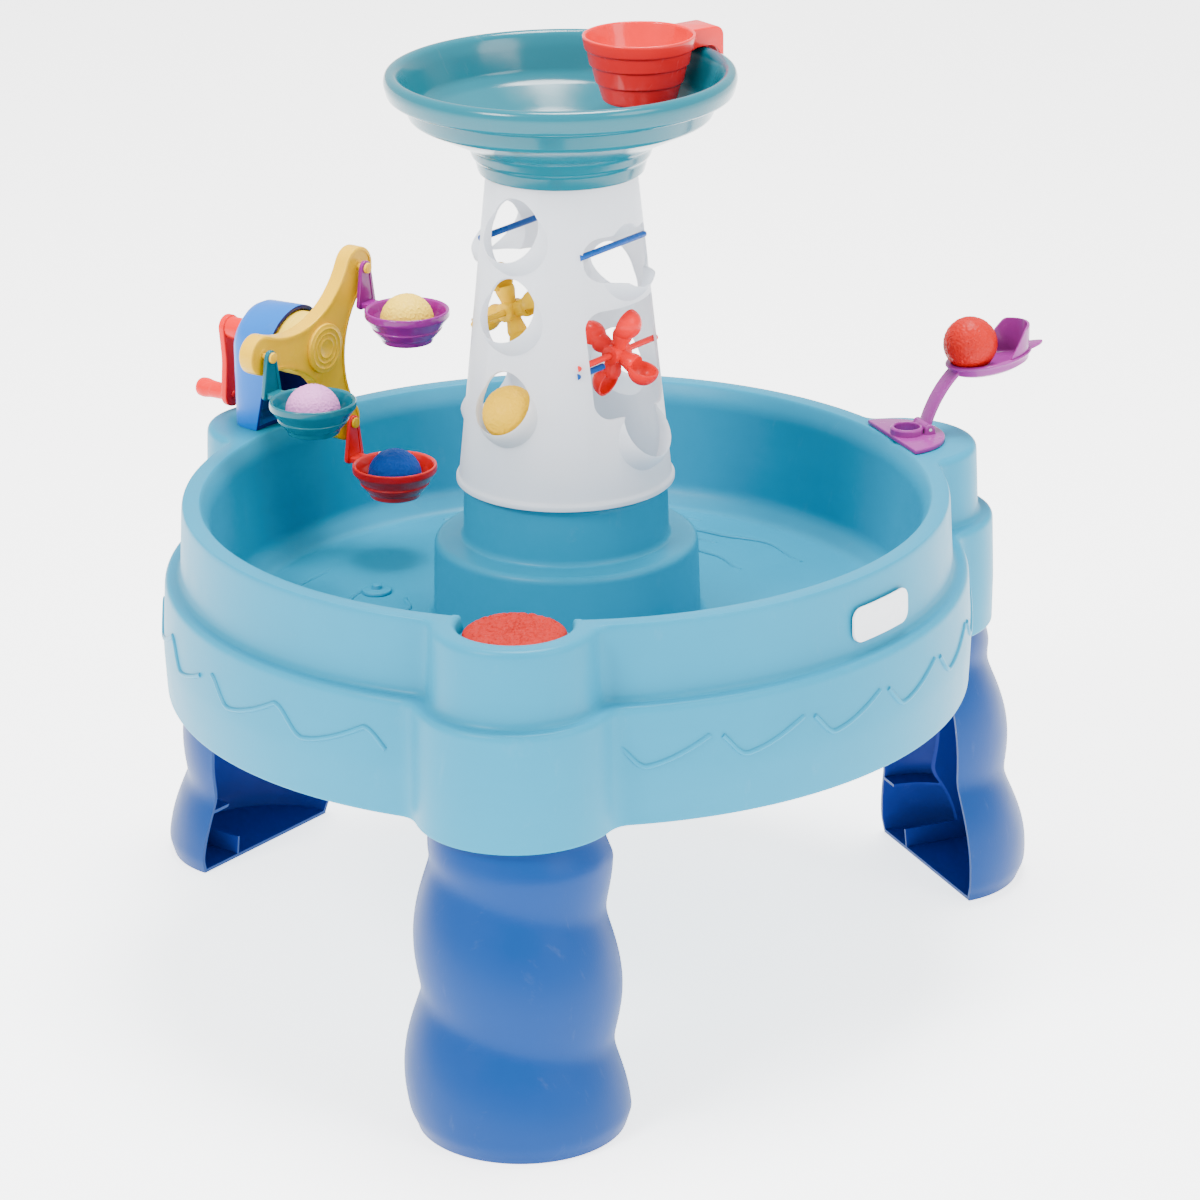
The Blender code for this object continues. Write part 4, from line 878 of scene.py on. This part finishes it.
def make_spinner(name, body, height, azimuth, finish):
    """Four flared scoops round a hub."""
    spinner = rod(name, 0.0085, -0.011, 0.011, 48, UPRIGHT, 0.0010)
    for quarter in range(4):
        turn = Matrix.Rotation(math.radians(90 * quarter + SPINNER_TURN), 4, "Y")
        neck = [(0, 0.0040), (0.0062, 0.0040), (0.0068, 0.0100), (0.0092, 0.0190), (0.0060, 0.0260), (0, 0.0260)]
        spoke = turned("neck", neck, 32, turn @ ALONG_X, 0.0030)
        lip = SCOOP_R
        section = [
            (0, -lip),
            *[(lip * math.sin(step * math.pi / 20), -lip * math.cos(step * math.pi / 20)) for step in range(1, 10)],
            (lip, -0.0006),
            (lip, 0.0012),
            (lip - 0.0022, 0.0012),
            *[
                ((lip - 0.0022) * math.sin(step * math.pi / 20), -(lip - 0.0022) * math.cos(step * math.pi / 20))
                for step in range(9, 0, -1)
            ],
            (0, -lip + 0.0022),
        ]
        scoop = turned("scoop", section, 48, turn @ at(SCOOP_REACH), 0)
        add(spinner, spoke, scoop)
        hollow = globe("scoop_hollow", SCOOP_R - 0.0022, turn @ at(SCOOP_REACH, 0, 0.0004))
        cut(spinner, hollow)
    cut(spinner, rod("bore", ROD_R + GAP, -0.02, 0.02, 32, UPRIGHT, 0))
    show(spinner, finish, body, [body], place=facing(azimuth) @ at(SPINNER_R, 0, height), crease=38)


# ---- Funnel and cup ----------------------------------------------------------------------


def make_funnel(finish):
    lip, top = FUNNEL_LIP_R, FUNNEL_Z
    section = [
        (lip - 0.0080, top),
        (lip - 0.0020, top - 0.0015),
        (lip, top - 0.0085),
        (lip - 0.0035, top - 0.0210),
        (lip - 0.0160, top - 0.0225),
        (0.1285, 0.7610),
        (0.0860, 0.7405),
        (0.0790, 0.7365),
        (0.0760, 0.7270),
        (0.0735, 0.7245),
        (0.0705, 0.7125),
        (0.0668, 0.7125),
        (0.0668, 0.7250),
        (0.0310, 0.7255),
        (0.0330, 0.7300),
        (0.0700, 0.7340),
        (0.0880, 0.7435),
        (0.1190, 0.7585),
        (0.1265, 0.7660),
        (0.1335, 0.7880),
        (0.1375, 0.7970),
    ]
    show(turned("funnel_look", section, 192, None, 0.0032), finish, "table", ["funnel"], place=at(AXIS.x, AXIS.y))


def make_cup(finish):
    section = [
        (0, CUP_FLOOR_Z + 0.0022),
        (CUP_R - 0.0190, CUP_FLOOR_Z + 0.0022),
        (CUP_R - 0.0150, CUP_Z - 0.0415),
        (CUP_R - 0.0100, CUP_Z - 0.0260),
        (CUP_R - 0.0060, CUP_Z - 0.0125),
        (CUP_R - 0.0030, CUP_Z - 0.0010),
        (CUP_R - 0.0022, CUP_Z),
        (CUP_R - 0.0002, CUP_Z),
        (CUP_R, CUP_Z - 0.0020),
        (CUP_R - 0.0015, CUP_Z - 0.0110),
        (CUP_R - 0.0035, CUP_Z - 0.0125),
        (CUP_R - 0.0055, CUP_Z - 0.0245),
        (CUP_R - 0.0075, CUP_Z - 0.0260),
        (CUP_R - 0.0105, CUP_Z - 0.0400),
        (CUP_R - 0.0125, CUP_Z - 0.0415),
        (CUP_R - 0.0165, CUP_FLOOR_Z + 0.0020),
        (CUP_R - 0.0185, CUP_FLOOR_Z),
        (0, CUP_FLOOR_Z),
    ]
    cup = turned("cup_look", section, 128, None, 0.0009)
    top, reach, half = CUP_Z, CUP_HANDLE_REACH, CUP_HANDLE_HALF
    outline = [(CUP_R - 0.0040, top - 0.0005), *arc((reach - 0.009, top - 0.0095), 0.009, math.pi / 2, 0, 8)]
    outline += [(reach, top - 0.0480), (reach - 0.0028, top - 0.0480)]
    outline += arc((reach - 0.0160, top - 0.0290), 0.0125, 0, math.pi / 2, 10)
    outline += [(CUP_R + 0.0030, top - 0.0165), (CUP_R - 0.0040, top - 0.0190)]
    handle = prism("handle", outline, -half, half, UPRIGHT, 0.0010)
    channel = (CUP_R + 0.0005, -half + 0.0025, top - 0.10)
    cut(handle, box("channel", channel, (reach - 0.0025, half - 0.0025, top - 0.0030)))
    add(cup, handle)
    show(cup, finish, "cup", ["cup"], place=facing(CUP_AZIMUTH) @ at(CUP_SEAT_R), crease=38)


# ---- Bucket wheel ------------------------------------------------------------------------


def wheel_outline(tip_r, web, count=16):
    """Three round-tipped arms joined by concave arcs, in (y, z)."""
    ring = PIN_CIRCLE_R
    concave = (ring**2 + web**2 - ring * web - tip_r**2) / (ring + 2 * tip_r - 2 * web)
    far = web + concave
    points = []
    for arm in range(3):
        heading = math.pi / 2 + FIRST_ARM + arm * 2 * math.pi / 3
        tip = (ring * math.cos(heading), ring * math.sin(heading))
        before = (far * math.cos(heading - math.pi / 3), far * math.sin(heading - math.pi / 3))
        after = (far * math.cos(heading + math.pi / 3), far * math.sin(heading + math.pi / 3))
        start = math.atan2(before[1] - tip[1], before[0] - tip[0])
        end = math.atan2(after[1] - tip[1], after[0] - tip[0])
        while end < start:
            end += 2 * math.pi
        points += arc(tip, tip_r, start, end, count + 6)
        opening = math.atan2(tip[1] - after[1], tip[0] - after[0])
        onward = heading + 2 * math.pi / 3
        following = (ring * math.cos(onward), ring * math.sin(onward))
        closing = math.atan2(following[1] - after[1], following[0] - after[0])
        while closing > opening:
            closing -= 2 * math.pi
        points += arc(after, concave, opening, closing, count)[1:-1]
    return points


def pin_places():
    headings = [FIRST_ARM + arm * 2 * math.pi / 3 for arm in range(3)]
    return [(-PIN_CIRCLE_R * math.sin(heading), PIN_CIRCLE_R * math.cos(heading)) for heading in headings]


def make_wheel(finish):
    front, back = WHEEL_X
    wheel = prism("ferris_wheel_look", wheel_outline(0.0180, 0.030), front, back, ALONG_X, 0.0012)
    cut(wheel, prism("field", wheel_outline(0.0148, 0.0268), front - 0.002, front + 0.0009, ALONG_X))
    cut(wheel, prism("back_field", wheel_outline(0.0152, 0.0272), front + 0.0045, back + 0.002, ALONG_X))
    add(wheel, rod("hub_boss", 0.0225, front - 0.0024, back - 0.002, 64, ALONG_X, 0.0008))
    for radius in (0.0185, 0.0135, 0.0085):
        ring = [(radius, front - 0.0030), (radius + 0.0014, front - 0.0020), (radius, front + 0.001), (radius - 0.0014, front - 0.0020)]
        add(wheel, turned("ring", ring, 64, ALONG_X, 0))
    for y, z in pin_places():
        place = at(0, y, z) @ ALONG_X
        add(wheel, rod("pin_boss", 0.0062, front + 0.0005, back - 0.0005, 32, place))
        cut(wheel, rod("pin_bore", 0.0033, front - 0.01, back + 0.01, 24, place, 0))
    cut(wheel, rod("axle_bore", 0.0043, front + 0.003, back + 0.01, 24, ALONG_X, 0))
    show(wheel, finish, "wheel", ["ferris_wheel"], place=facing(STATION["left"]) @ at(0, 0, AXLE_Z), crease=40)


def make_drum(finish):
    low, high = WHEEL_X[1] + GAP, 0.3400
    section = [(0.0043, high), (0.0270, high), (0.0290, high - 0.0020)]
    for groove in range(1, 6):
        middle = high - groove * (high - low) / 6
        section += [(0.0290, middle + 0.0012), (0.0284, middle), (0.0290, middle - 0.0012)]
    section += [(0.0290, low), (0.0043, low)]
    drum = turned("drum_look", section, 96, ALONG_X, 0.0006)
    show(drum, finish, "wheel", ["wheel_drum"], place=facing(STATION["left"]) @ at(0, 0, AXLE_Z))


def bracket_form(name, shrink, mouth, foot, count=32):
    """Tapered arch: a wide mouth towards the basin, narrower and lower at the back."""
    rings = [
        (0.3260 - mouth, 0.3000 - mouth, 0.0340, 0.5395),
        (0.3400, 0.3400, 0.0335, 0.5375),
        (0.3470, 0.3470, 0.0324, 0.5345),
        (0.3510, 0.3510, 0.0305, 0.5300),
        (0.3545, 0.3545, 0.0282, 0.5255),
        (BRACKET_BACK_X - shrink, BRACKET_BACK_X - shrink, 0.0250, 0.5200),
    ]
    columns = count + 3

    def point(column, row):
        low_x, high_x, half, top = rings[row]
        half, top = half - shrink, top - shrink
        if column == 0:
            y, z = half, foot
        elif column == columns - 1:
            y, z = -half, foot
        else:
            angle = math.pi * (column - 1) / count
            y, z = half * math.cos(angle), top - half + half * math.sin(angle)
        share = (z - foot) / (top - foot)
        return (low_x + (high_x - low_x) * share, y, z)

    return surface(name, columns, len(rings) - 1, point)


def make_bracket(finishes):
    foot = RIM_Z + GAP
    bracket = bracket_form("bracket_look", 0.0, 0.0, foot)
    cut(bracket, bracket_form("bracket_hollow", 0.003, 0.03, foot + 0.004))
    cut(bracket, rod("axle_hole", 0.0043, BRACKET_BACK_X - 0.012, BRACKET_BACK_X + 0.012, 24, at(0, 0, AXLE_Z) @ ALONG_X, 0))
    for y in (-0.018, 0.018):
        cut(bracket, rod("screw_hole", 0.0025, foot - 0.01, foot + 0.01, 16, at(0.342, y), 0))
    ease_edges(bracket, 0.0008, 45)
    # Faces inside the arch's hollow and at its mouth take the second finish, a darker navy copy of the blue: painted
    # shade of the hollow
    two_finishes(bracket, finishes)
    for polygon in bracket.data.polygons:
        x, y, z = polygon.center
        outwards = polygon.normal.y * y + polygon.normal.z * max(z - 0.5055, 0)
        mouth_x = 0.3260 - 0.026 * (z - foot) / (0.5395 - foot)
        polygon.material_index = int((outwards < 0 and x < BRACKET_BACK_X - 0.0035) or x < mouth_x + 0.0012)
    show(bracket, finishes, "table", ["wheel_bracket"], place=facing(STATION["left"]), crease=40)


def make_crank(finish):
    low, high = CRANK_X, CRANK_X + 0.0065
    outline = arc((0, 0), 0.0115, 0.05, math.pi - 0.05, 20)
    outline += [(-0.0085, -0.030)]
    outline += arc((0, -CRANK_R), 0.0115, math.pi + 0.02, 2 * math.pi - 0.02, 20)
    outline += [(0.0085, -0.030)]
    outline = softened(outline, 0.006, 5, ring=True)
    crank = prism("crank_arm_look", outline, low, high, ALONG_X, 0.0012)
    add(crank, rod("crank_boss", 0.0100, BRACKET_BACK_X + 0.0015, high - 0.001, 48, ALONG_X))
    cut(crank, rod("axle_socket", 0.0043, low - 0.04, high - 0.0007, 24, ALONG_X, 0))
    cut(crank, rod("knob_bore", 0.0038, low - 0.01, high + 0.01, 24, at(0, 0, -CRANK_R) @ ALONG_X, 0))
    place = facing(STATION["left"]) @ at(0, 0, AXLE_Z)
    show(crank, finish, "wheel", ["crank_arm"], place=place, crease=40)
    start = CRANK_X + 0.0065 + GAP
    end = start + 0.036
    section = [
        (0, end),
        (0.0052, end - 0.0002),
        (0.0086, end - 0.0028),
        (0.0092, end - 0.0090),
        (0.0080, end - 0.0160),
        (0.0074, start + 0.004),
        (0.0082, start),
        (0.0035, start),
        (0.0035, CRANK_X - 0.0012),
        (0, CRANK_X - 0.0012),
    ]
    knob = turned("crank_knob_look", section, 56, ALONG_X, 0.0022)
    show(knob, finish, "crank_knob", ["crank_knob"], place=place @ at(0, 0, -CRANK_R))


def make_bucket(colour, finish, y, z):
    section = [
        (0.0372, 0.0004),
        (BUCKET_RIM_R - 0.0002, -0.0006),
        (BUCKET_RIM_R, -0.0060),
        (0.0372, -0.0078),
        (0.0360, -0.0092),
        (0.0352, -0.0104),
        (0.0310, -0.0160),
        (0.0318, -0.0172),
        (0.0262, -0.0240),
        (0.0246, -0.0252),
        (0.0228, -0.0300),
        (0.0176, -0.0300),
        (0.0214, -0.0255),
        (0.0265, -0.0180),
        (0.0325, -0.0085),
        (0.0350, -0.0012),
    ]
    bucket_x = BUCKET_X - HANGER_X
    rim = -BUCKET_DROP
    bucket = turned(f"{colour}_bucket_look", section, 96, at(bucket_x, 0, rim - 0.0004), 0.0008)
    outline = arc((0, 0), 0.0065, 0.15, math.pi - 0.15, 14)
    outline += arc((-0.0075, rim - 0.0030), 0.0045, math.pi, 1.5 * math.pi, 6)
    outline += arc((0.0075, rim - 0.0030), 0.0045, 1.5 * math.pi, 2 * math.pi, 6)
    hanger = prism("hanger", outline, -0.0038, 0, ALONG_X, 0.0008)
    hollow = arc((0, 0.0005), 0.0036, 0.15, math.pi - 0.15, 8) + [(-0.0078, rim), (-0.0060, rim - 0.0045)]
    hollow += [(0.0060, rim - 0.0045), (0.0078, rim)]
    rear = prism("hanger_hollow", softened(hollow, 0.002, 3, ring=True), -0.0048, -0.0030, ALONG_X)
    bridge = box("bridge", (bucket_x + BUCKET_RIM_R - 0.0015, -0.0085, rim - 0.0062), (-0.0015, 0.0085, rim - 0.0012), None, 0.0008)
    cut(hanger, rear)
    add(bucket, hanger, bridge, rod("pin_ring", 0.0052, -0.0040, -0.0004, 32, ALONG_X))
    cut(bucket, rod("pin_hole", 0.0033, -0.02, 0.02, 24, ALONG_X, 0))
    place = facing(STATION["left"]) @ at(HANGER_X, y, AXLE_Z + z)
    show(bucket, finish, f"{colour}_bucket", [f"{colour}_bucket"], place=place, crease=38)


def make_pin(colour, finish, y, z):
    head = -0.0040 - GAP
    section = [
        (0, WHEEL_X[1] - HANGER_X),
        (0.0030, WHEEL_X[1] - HANGER_X),
        (0.0030, head),
        (0.0050, head),
        (0.0046, head - 0.0020),
        (0, head - 0.0024),
    ]
    place = facing(STATION["left"]) @ at(HANGER_X, y, AXLE_Z + z)
    pin = turned(f"{colour}_pin_look", section, 40, ALONG_X, 0.0005)
    show(pin, finish, "wheel", [f"{colour}_bucket_pin"], place=place)


# ---- Balls -------------------------------------------------------------------------------


def make_ball(node, finish, seed):
    """Hollow play ball with fine winding ridges all over, touching the CAD ball's own surface."""
    low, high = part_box(node)
    centre = (low + high) / 2
    bm = bmesh.new()
    bmesh.ops.create_icosphere(bm, subdivisions=6, radius=1)
    shift = Vector((seed * 7.3, seed * 3.1, seed * 1.7))
    for vert in bm.verts:
        ridge = worm_relief(vert.co * BALL_R + shift, 330.0, 0.22)
        vert.co = vert.co * (BALL_R - 0.0006 + 0.0006 * ridge)
    ball = to_object(bm, f"{node}_look", at(*centre))
    show(ball, finish, node, [node], crease=60)


# ---- Ball flinger ------------------------------------------------------------------------


def make_flinger_base(finish):
    base = RIM_Z + GAP
    outline = arc((PLATE_X, PLATE_Y), PLATE_R - 0.0001, -math.pi / 2, math.pi / 2, 48)
    plate = prism("flinger_base_look", outline, base, base + 0.0040, None, 0.0010)
    hinge = at(*HINGE) @ UPRIGHT
    section = [(0.0150, base + 0.001), (0.0150, base + 0.0090), (0.0138, base + 0.0105), (0.0123, base + 0.0105)]
    section += [(0.0115, base + 0.0095), (0.0115, base + 0.001)]
    add(plate, turned("socket", section, 64, at(SOCKET_X, PLATE_Y), 0.0006))
    cut(plate, rod("socket_hole", 0.0115, base - 0.01, base + 0.02, 64, at(SOCKET_X, PLATE_Y), 0))
    cut(plate, rod("relief", 0.0052, -0.0102, 0.0102, 32, hinge, 0))
    x, z = HINGE.x, HINGE.z
    for side in (-1, 1):
        low, high = sorted((-PLATE_Y - side * 0.0102, -PLATE_Y - side * 0.0135))
        lug = [(x - 0.006, base + 0.001), *arc((x, z), 0.0045, math.pi, 0, 16), (x + 0.006, base + 0.001)]
        add(plate, prism("lug", lug, low, high, UPRIGHT, 0.0005))
    cut(plate, rod("pin_hole", 0.0018, -0.02, 0.02, 24, hinge, 0))
    show(plate, finish, "table", ["flinger_base"], place=facing(STATION["right"]), crease=40)


def strap_outline(count=20):
    """Side view of the curved strap, from the hinge barrel up to the spoon."""
    start, bend, end = Vector((0.001, 0.001)), Vector((0.012, 0.034)), Vector((0.036, 0.0525))
    left, right = [], []
    for step in range(count + 1):
        t = step / count
        point = start * (1 - t) ** 2 + bend * 2 * t * (1 - t) + end * t**2
        way = ((bend - start) * (1 - t) + (end - bend) * t).normalized()
        side = Vector((-way.y, way.x)) * 0.0018
        left.append(tuple(point + side))
        right.append(tuple(point - side))
    return left + right[::-1]


def make_flinger_arm(finish):
    """Strap with an oval spoon at its end, in the frame of the hinge line."""
    arm = prism("flinger_arm_look", strap_outline(), -0.0090, 0.0090, UPRIGHT, 0.0007)
    add(arm, rod("barrel", 0.0045, -0.0095, 0.0095, 40, UPRIGHT))
    long_half, wide_half, skin = 0.0400, 0.0280, 0.0025
    place = at(*(SPOON - HINGE)) @ Matrix.Rotation(-SPOON_TILT, 4, "Y")
    oval = place @ Matrix.Diagonal((1, wide_half / long_half, 1, 1))
    low_cup = [(0, 0.012), (long_half + 0.0012, 0.0118), (long_half + 0.0014, 0.0098), (long_half - 0.0010, 0.0090)]
    low_cup += [(long_half - 0.0030, 0.003), (long_half - 0.009, 0), (0, 0)]
    tall_cup = [(0, 0.034), (long_half + 0.002, 0.034), (long_half - 0.0025, 0.003), (long_half - 0.009, 0.001), (0, 0.001)]
    inside = [
        (0, 0.040),
        (long_half - skin + 0.003, 0.040),
        (long_half - skin - 0.0025, 0.0035),
        (long_half - 0.011, skin),
        (0, skin),
    ]
    spoon = turned("spoon", low_cup, 96, oval, 0.0012)
    wall = turned("far_wall", tall_cup, 96, oval, 0.0012)
    slope = [(0.0080, 0.011), (0.0300, 0.0345), (0.06, 0.0345), (0.06, -0.001), (0.0080, -0.001)]
    slope = softened(slope, 0.005, 6, ring=True)
    keep(wall, prism("wall_part", slope, -0.05, 0.05, place @ UPRIGHT))
    tab = [(0.030, 0.010), (0.0415, 0.0085), (0.0500, 0.0050), (0.0560, 0.0), (0.0500, -0.0050)]
    tab += [(0.0415, -0.0085), (0.030, -0.010)]
    tab = softened(tab, 0.003, 4, ring=True)
    add(spoon, wall, prism("tab", tab, 0.0090, 0.0114, place, 0.0005))
    add(arm, spoon)
    cut(arm, turned("spoon_hollow", inside, 96, oval, 0.002))
    cut(arm, rod("pin_hole", 0.0018, -0.02, 0.02, 24, UPRIGHT, 0))
    show(arm, finish, "flinger_arm", ["flinger_arm"], place=facing(STATION["right"]) @ at(*HINGE), crease=40)


# ---- Small steel pieces ------------------------------------------------------------------


def steel_nodes(finish):
    """Screws, the wheel's axle and the hinge pin keep their CAD meshes."""
    names = [f"{side}_leg_screw" for side in STATION] + ["bracket_screw_front", "bracket_screw_rear"]
    for name in names + ["wheel_axle", "flinger_pin"]:
        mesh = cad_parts[name].data
        mesh.materials.clear()
        mesh.materials.append(finish)


# ---- The whole table ---------------------------------------------------------------------


def make_table():
    sky = moulded("basin_blue", SKY, 0.38)
    make_basin(sky)
    make_wave_lines(sky)
    make_drain_plug(moulded("plug_blue", SKY, 0.36))
    make_blank_plate(moulded("plate_white", WHITE, 0.28))
    make_disc(moulded("disc_red", (0.340, 0.006, 0.003), 0.60, pale=0.25))
    leg_blue = moulded("leg_blue", LEG_BLUE, 0.40)
    # The second leg finish is a darker navy copy of the blue: painted shade inside the hollow legs
    leg_hollow_painted_shade = moulded("leg_hollow_painted_shade", LEG_HOLLOW_SHADE_NAVY, 0.42)
    for side, azimuth in STATION.items():
        make_leg(side, azimuth, [leg_blue, leg_hollow_painted_shade])

    make_tower(milky("tower_milky", (0.86, 0.88, 0.92)))
    make_funnel(moulded("funnel_teal", TEAL, 0.16, 0.05, clear=0.0, shine=0.35))
    make_cup(moulded("cup_red", RED, 0.24, 0.07, clear=0.3))
    red = moulded("spinner_red", RED, 0.26)
    gold = moulded("spinner_gold", GOLD, 0.26)
    rods = moulded("rod_blue", ROD_BLUE, 0.28)
    make_spinner("red_spinner_look", "red_spinner", RED_SPINNER_Z, SPINNER_COLUMNS[0], red)
    make_spinner("yellow_spinner_look", "yellow_spinner", YELLOW_SPINNER_Z, SPINNER_COLUMNS[1], gold)
    chord_rod("red_axle_look", "red_spinner_axle", SPINNER_R, RED_SPINNER_Z, SPINNER_COLUMNS[0], red)
    chord_rod("yellow_axle_look", "yellow_spinner_axle", SPINNER_R, YELLOW_SPINNER_Z, SPINNER_COLUMNS[1], gold)
    chord_rod("red_side_rod_look", "upper_rod_red_side", TOP_ROD_R, TOP_ROD_Z, SPINNER_COLUMNS[0], rods)
    chord_rod("yellow_side_rod_look", "upper_rod_yellow_side", TOP_ROD_R, TOP_ROD_Z, SPINNER_COLUMNS[1], rods)
    chord_rod("axle_peg_look", "axle_peg", SPINNER_R, RED_SPINNER_Z - PEG_DROP, SPINNER_COLUMNS[0], rods, 0.020)

    gold_wheel = moulded("wheel_gold", GOLD, 0.28)
    make_wheel(gold_wheel)
    make_drum(moulded("drum_gold", PALE_GOLD, 0.38))
    # The bracket's second finish is a darker navy copy of its blue: painted shade inside the hollow arch
    make_bracket([moulded("bracket_blue", BRACKET_BLUE, 0.30), moulded("bracket_hollow_painted_shade", (0.008, 0.012, 0.150), 0.34)])
    make_crank(moulded("crank_red", RED, 0.26))
    buckets = (("purple", PURPLE), ("red", RED), ("teal", TEAL))
    for (name, colour), (y, z) in zip(buckets, pin_places()):
        make_bucket(name, moulded(f"{name}_bucket_plastic", colour, 0.22, 0.06, clear=0.3), y, z)
        make_pin(name, gold_wheel, y, z)

    orchid = moulded("flinger_orchid", ORCHID, 0.26, clear=0.2)
    make_flinger_base(orchid)
    make_flinger_arm(orchid)
    balls = (
        ("yellow_ball", PALE_GOLD),
        ("blue_ball", BALL_BLUE),
        ("pink_ball", PINK),
        ("orange_ball", CORAL),
        ("gold_ball", GOLD),
    )
    for seed, (node, colour) in enumerate(balls):
        make_ball(node, moulded(f"{node}_plastic", colour, 0.44, 0.10), seed)
    steel_nodes(brushed("zinc_steel"))


# ---- Studio ------------------------------------------------------------------------------


def area_light(name, power, size, place, target):
    data = bpy.data.lights.new(name, "AREA")
    data.shape = "DISK"
    data.size = size
    data.energy = power
    lamp = bpy.data.objects.new(name, data)
    bpy.context.scene.collection.objects.link(lamp)
    lamp.location = place
    lamp.rotation_euler = (Vector(target) - Vector(place)).to_track_quat("-Z", "Y").to_euler()
    return lamp


def make_studio():
    floor = bpy.data.objects.new("studio_floor", bpy.data.meshes.new("studio_floor"))
    bpy.context.scene.collection.objects.link(floor)
    bm = bmesh.new()
    bmesh.ops.create_circle(bm, cap_ends=True, segments=96, radius=30, matrix=at(0, 0, -0.0005))
    bm.to_mesh(floor.data)
    bm.free()
    pale = Finish("studio_pale")
    tone = pale.mix(pale.noise(0.6), rgba((0.90, 0.90, 0.90)), rgba((0.92, 0.92, 0.92)))
    values = {"Base Color": tone, "Roughness": 0.9, "Emission Color": rgba((1, 1, 1)), "Emission Strength": 2.5}
    floor.data.materials.append(pale.close(pale.node("ShaderNodeBsdfPrincipled", {}, values)))

    world = bpy.data.worlds.new("studio_world")
    world.use_nodes = True
    world.node_tree.nodes["Background"].inputs["Color"].default_value = (1, 1, 1, 1)
    world.node_tree.nodes["Background"].inputs["Strength"].default_value = 1.4
    bpy.context.scene.world = world
    area_light("key", 220, 1.4, (-2.2, -2.6, 3.4), (0, 0, 0.4))
    area_light("fill", 80, 2.0, (2.8, -1.8, 2.4), (0, 0, 0.4))
    area_light("top", 230, 1.4, (0.2, 0.6, 3.6), (0, 0, 0.4))


def make_camera():
    data = bpy.data.cameras.new("camera")
    data.sensor_width = 36
    data.lens = 136.95
    data.shift_x = 0.01152
    data.shift_y = 0.01604
    camera = bpy.data.objects.new("camera", data)
    bpy.context.scene.collection.objects.link(camera)
    pitch = math.radians(-20.85)
    level = Vector((-0.1275, 0.9918, 0)).normalized()
    forward = level * math.cos(pitch) + Vector((0, 0, math.sin(pitch)))
    right = forward.cross(Vector((0, 0, 1))).normalized()
    up = right.cross(forward)
    turn = Matrix((right, up, -forward)).transposed() @ Matrix.Rotation(math.radians(-0.6736), 3, "Z")
    camera.matrix_world = at(0.4944 + AXIS.x, -3.7173 + AXIS.y, 1.7325) @ turn.to_4x4()
    bpy.context.scene.camera = camera


make_table()
make_studio()
make_camera()
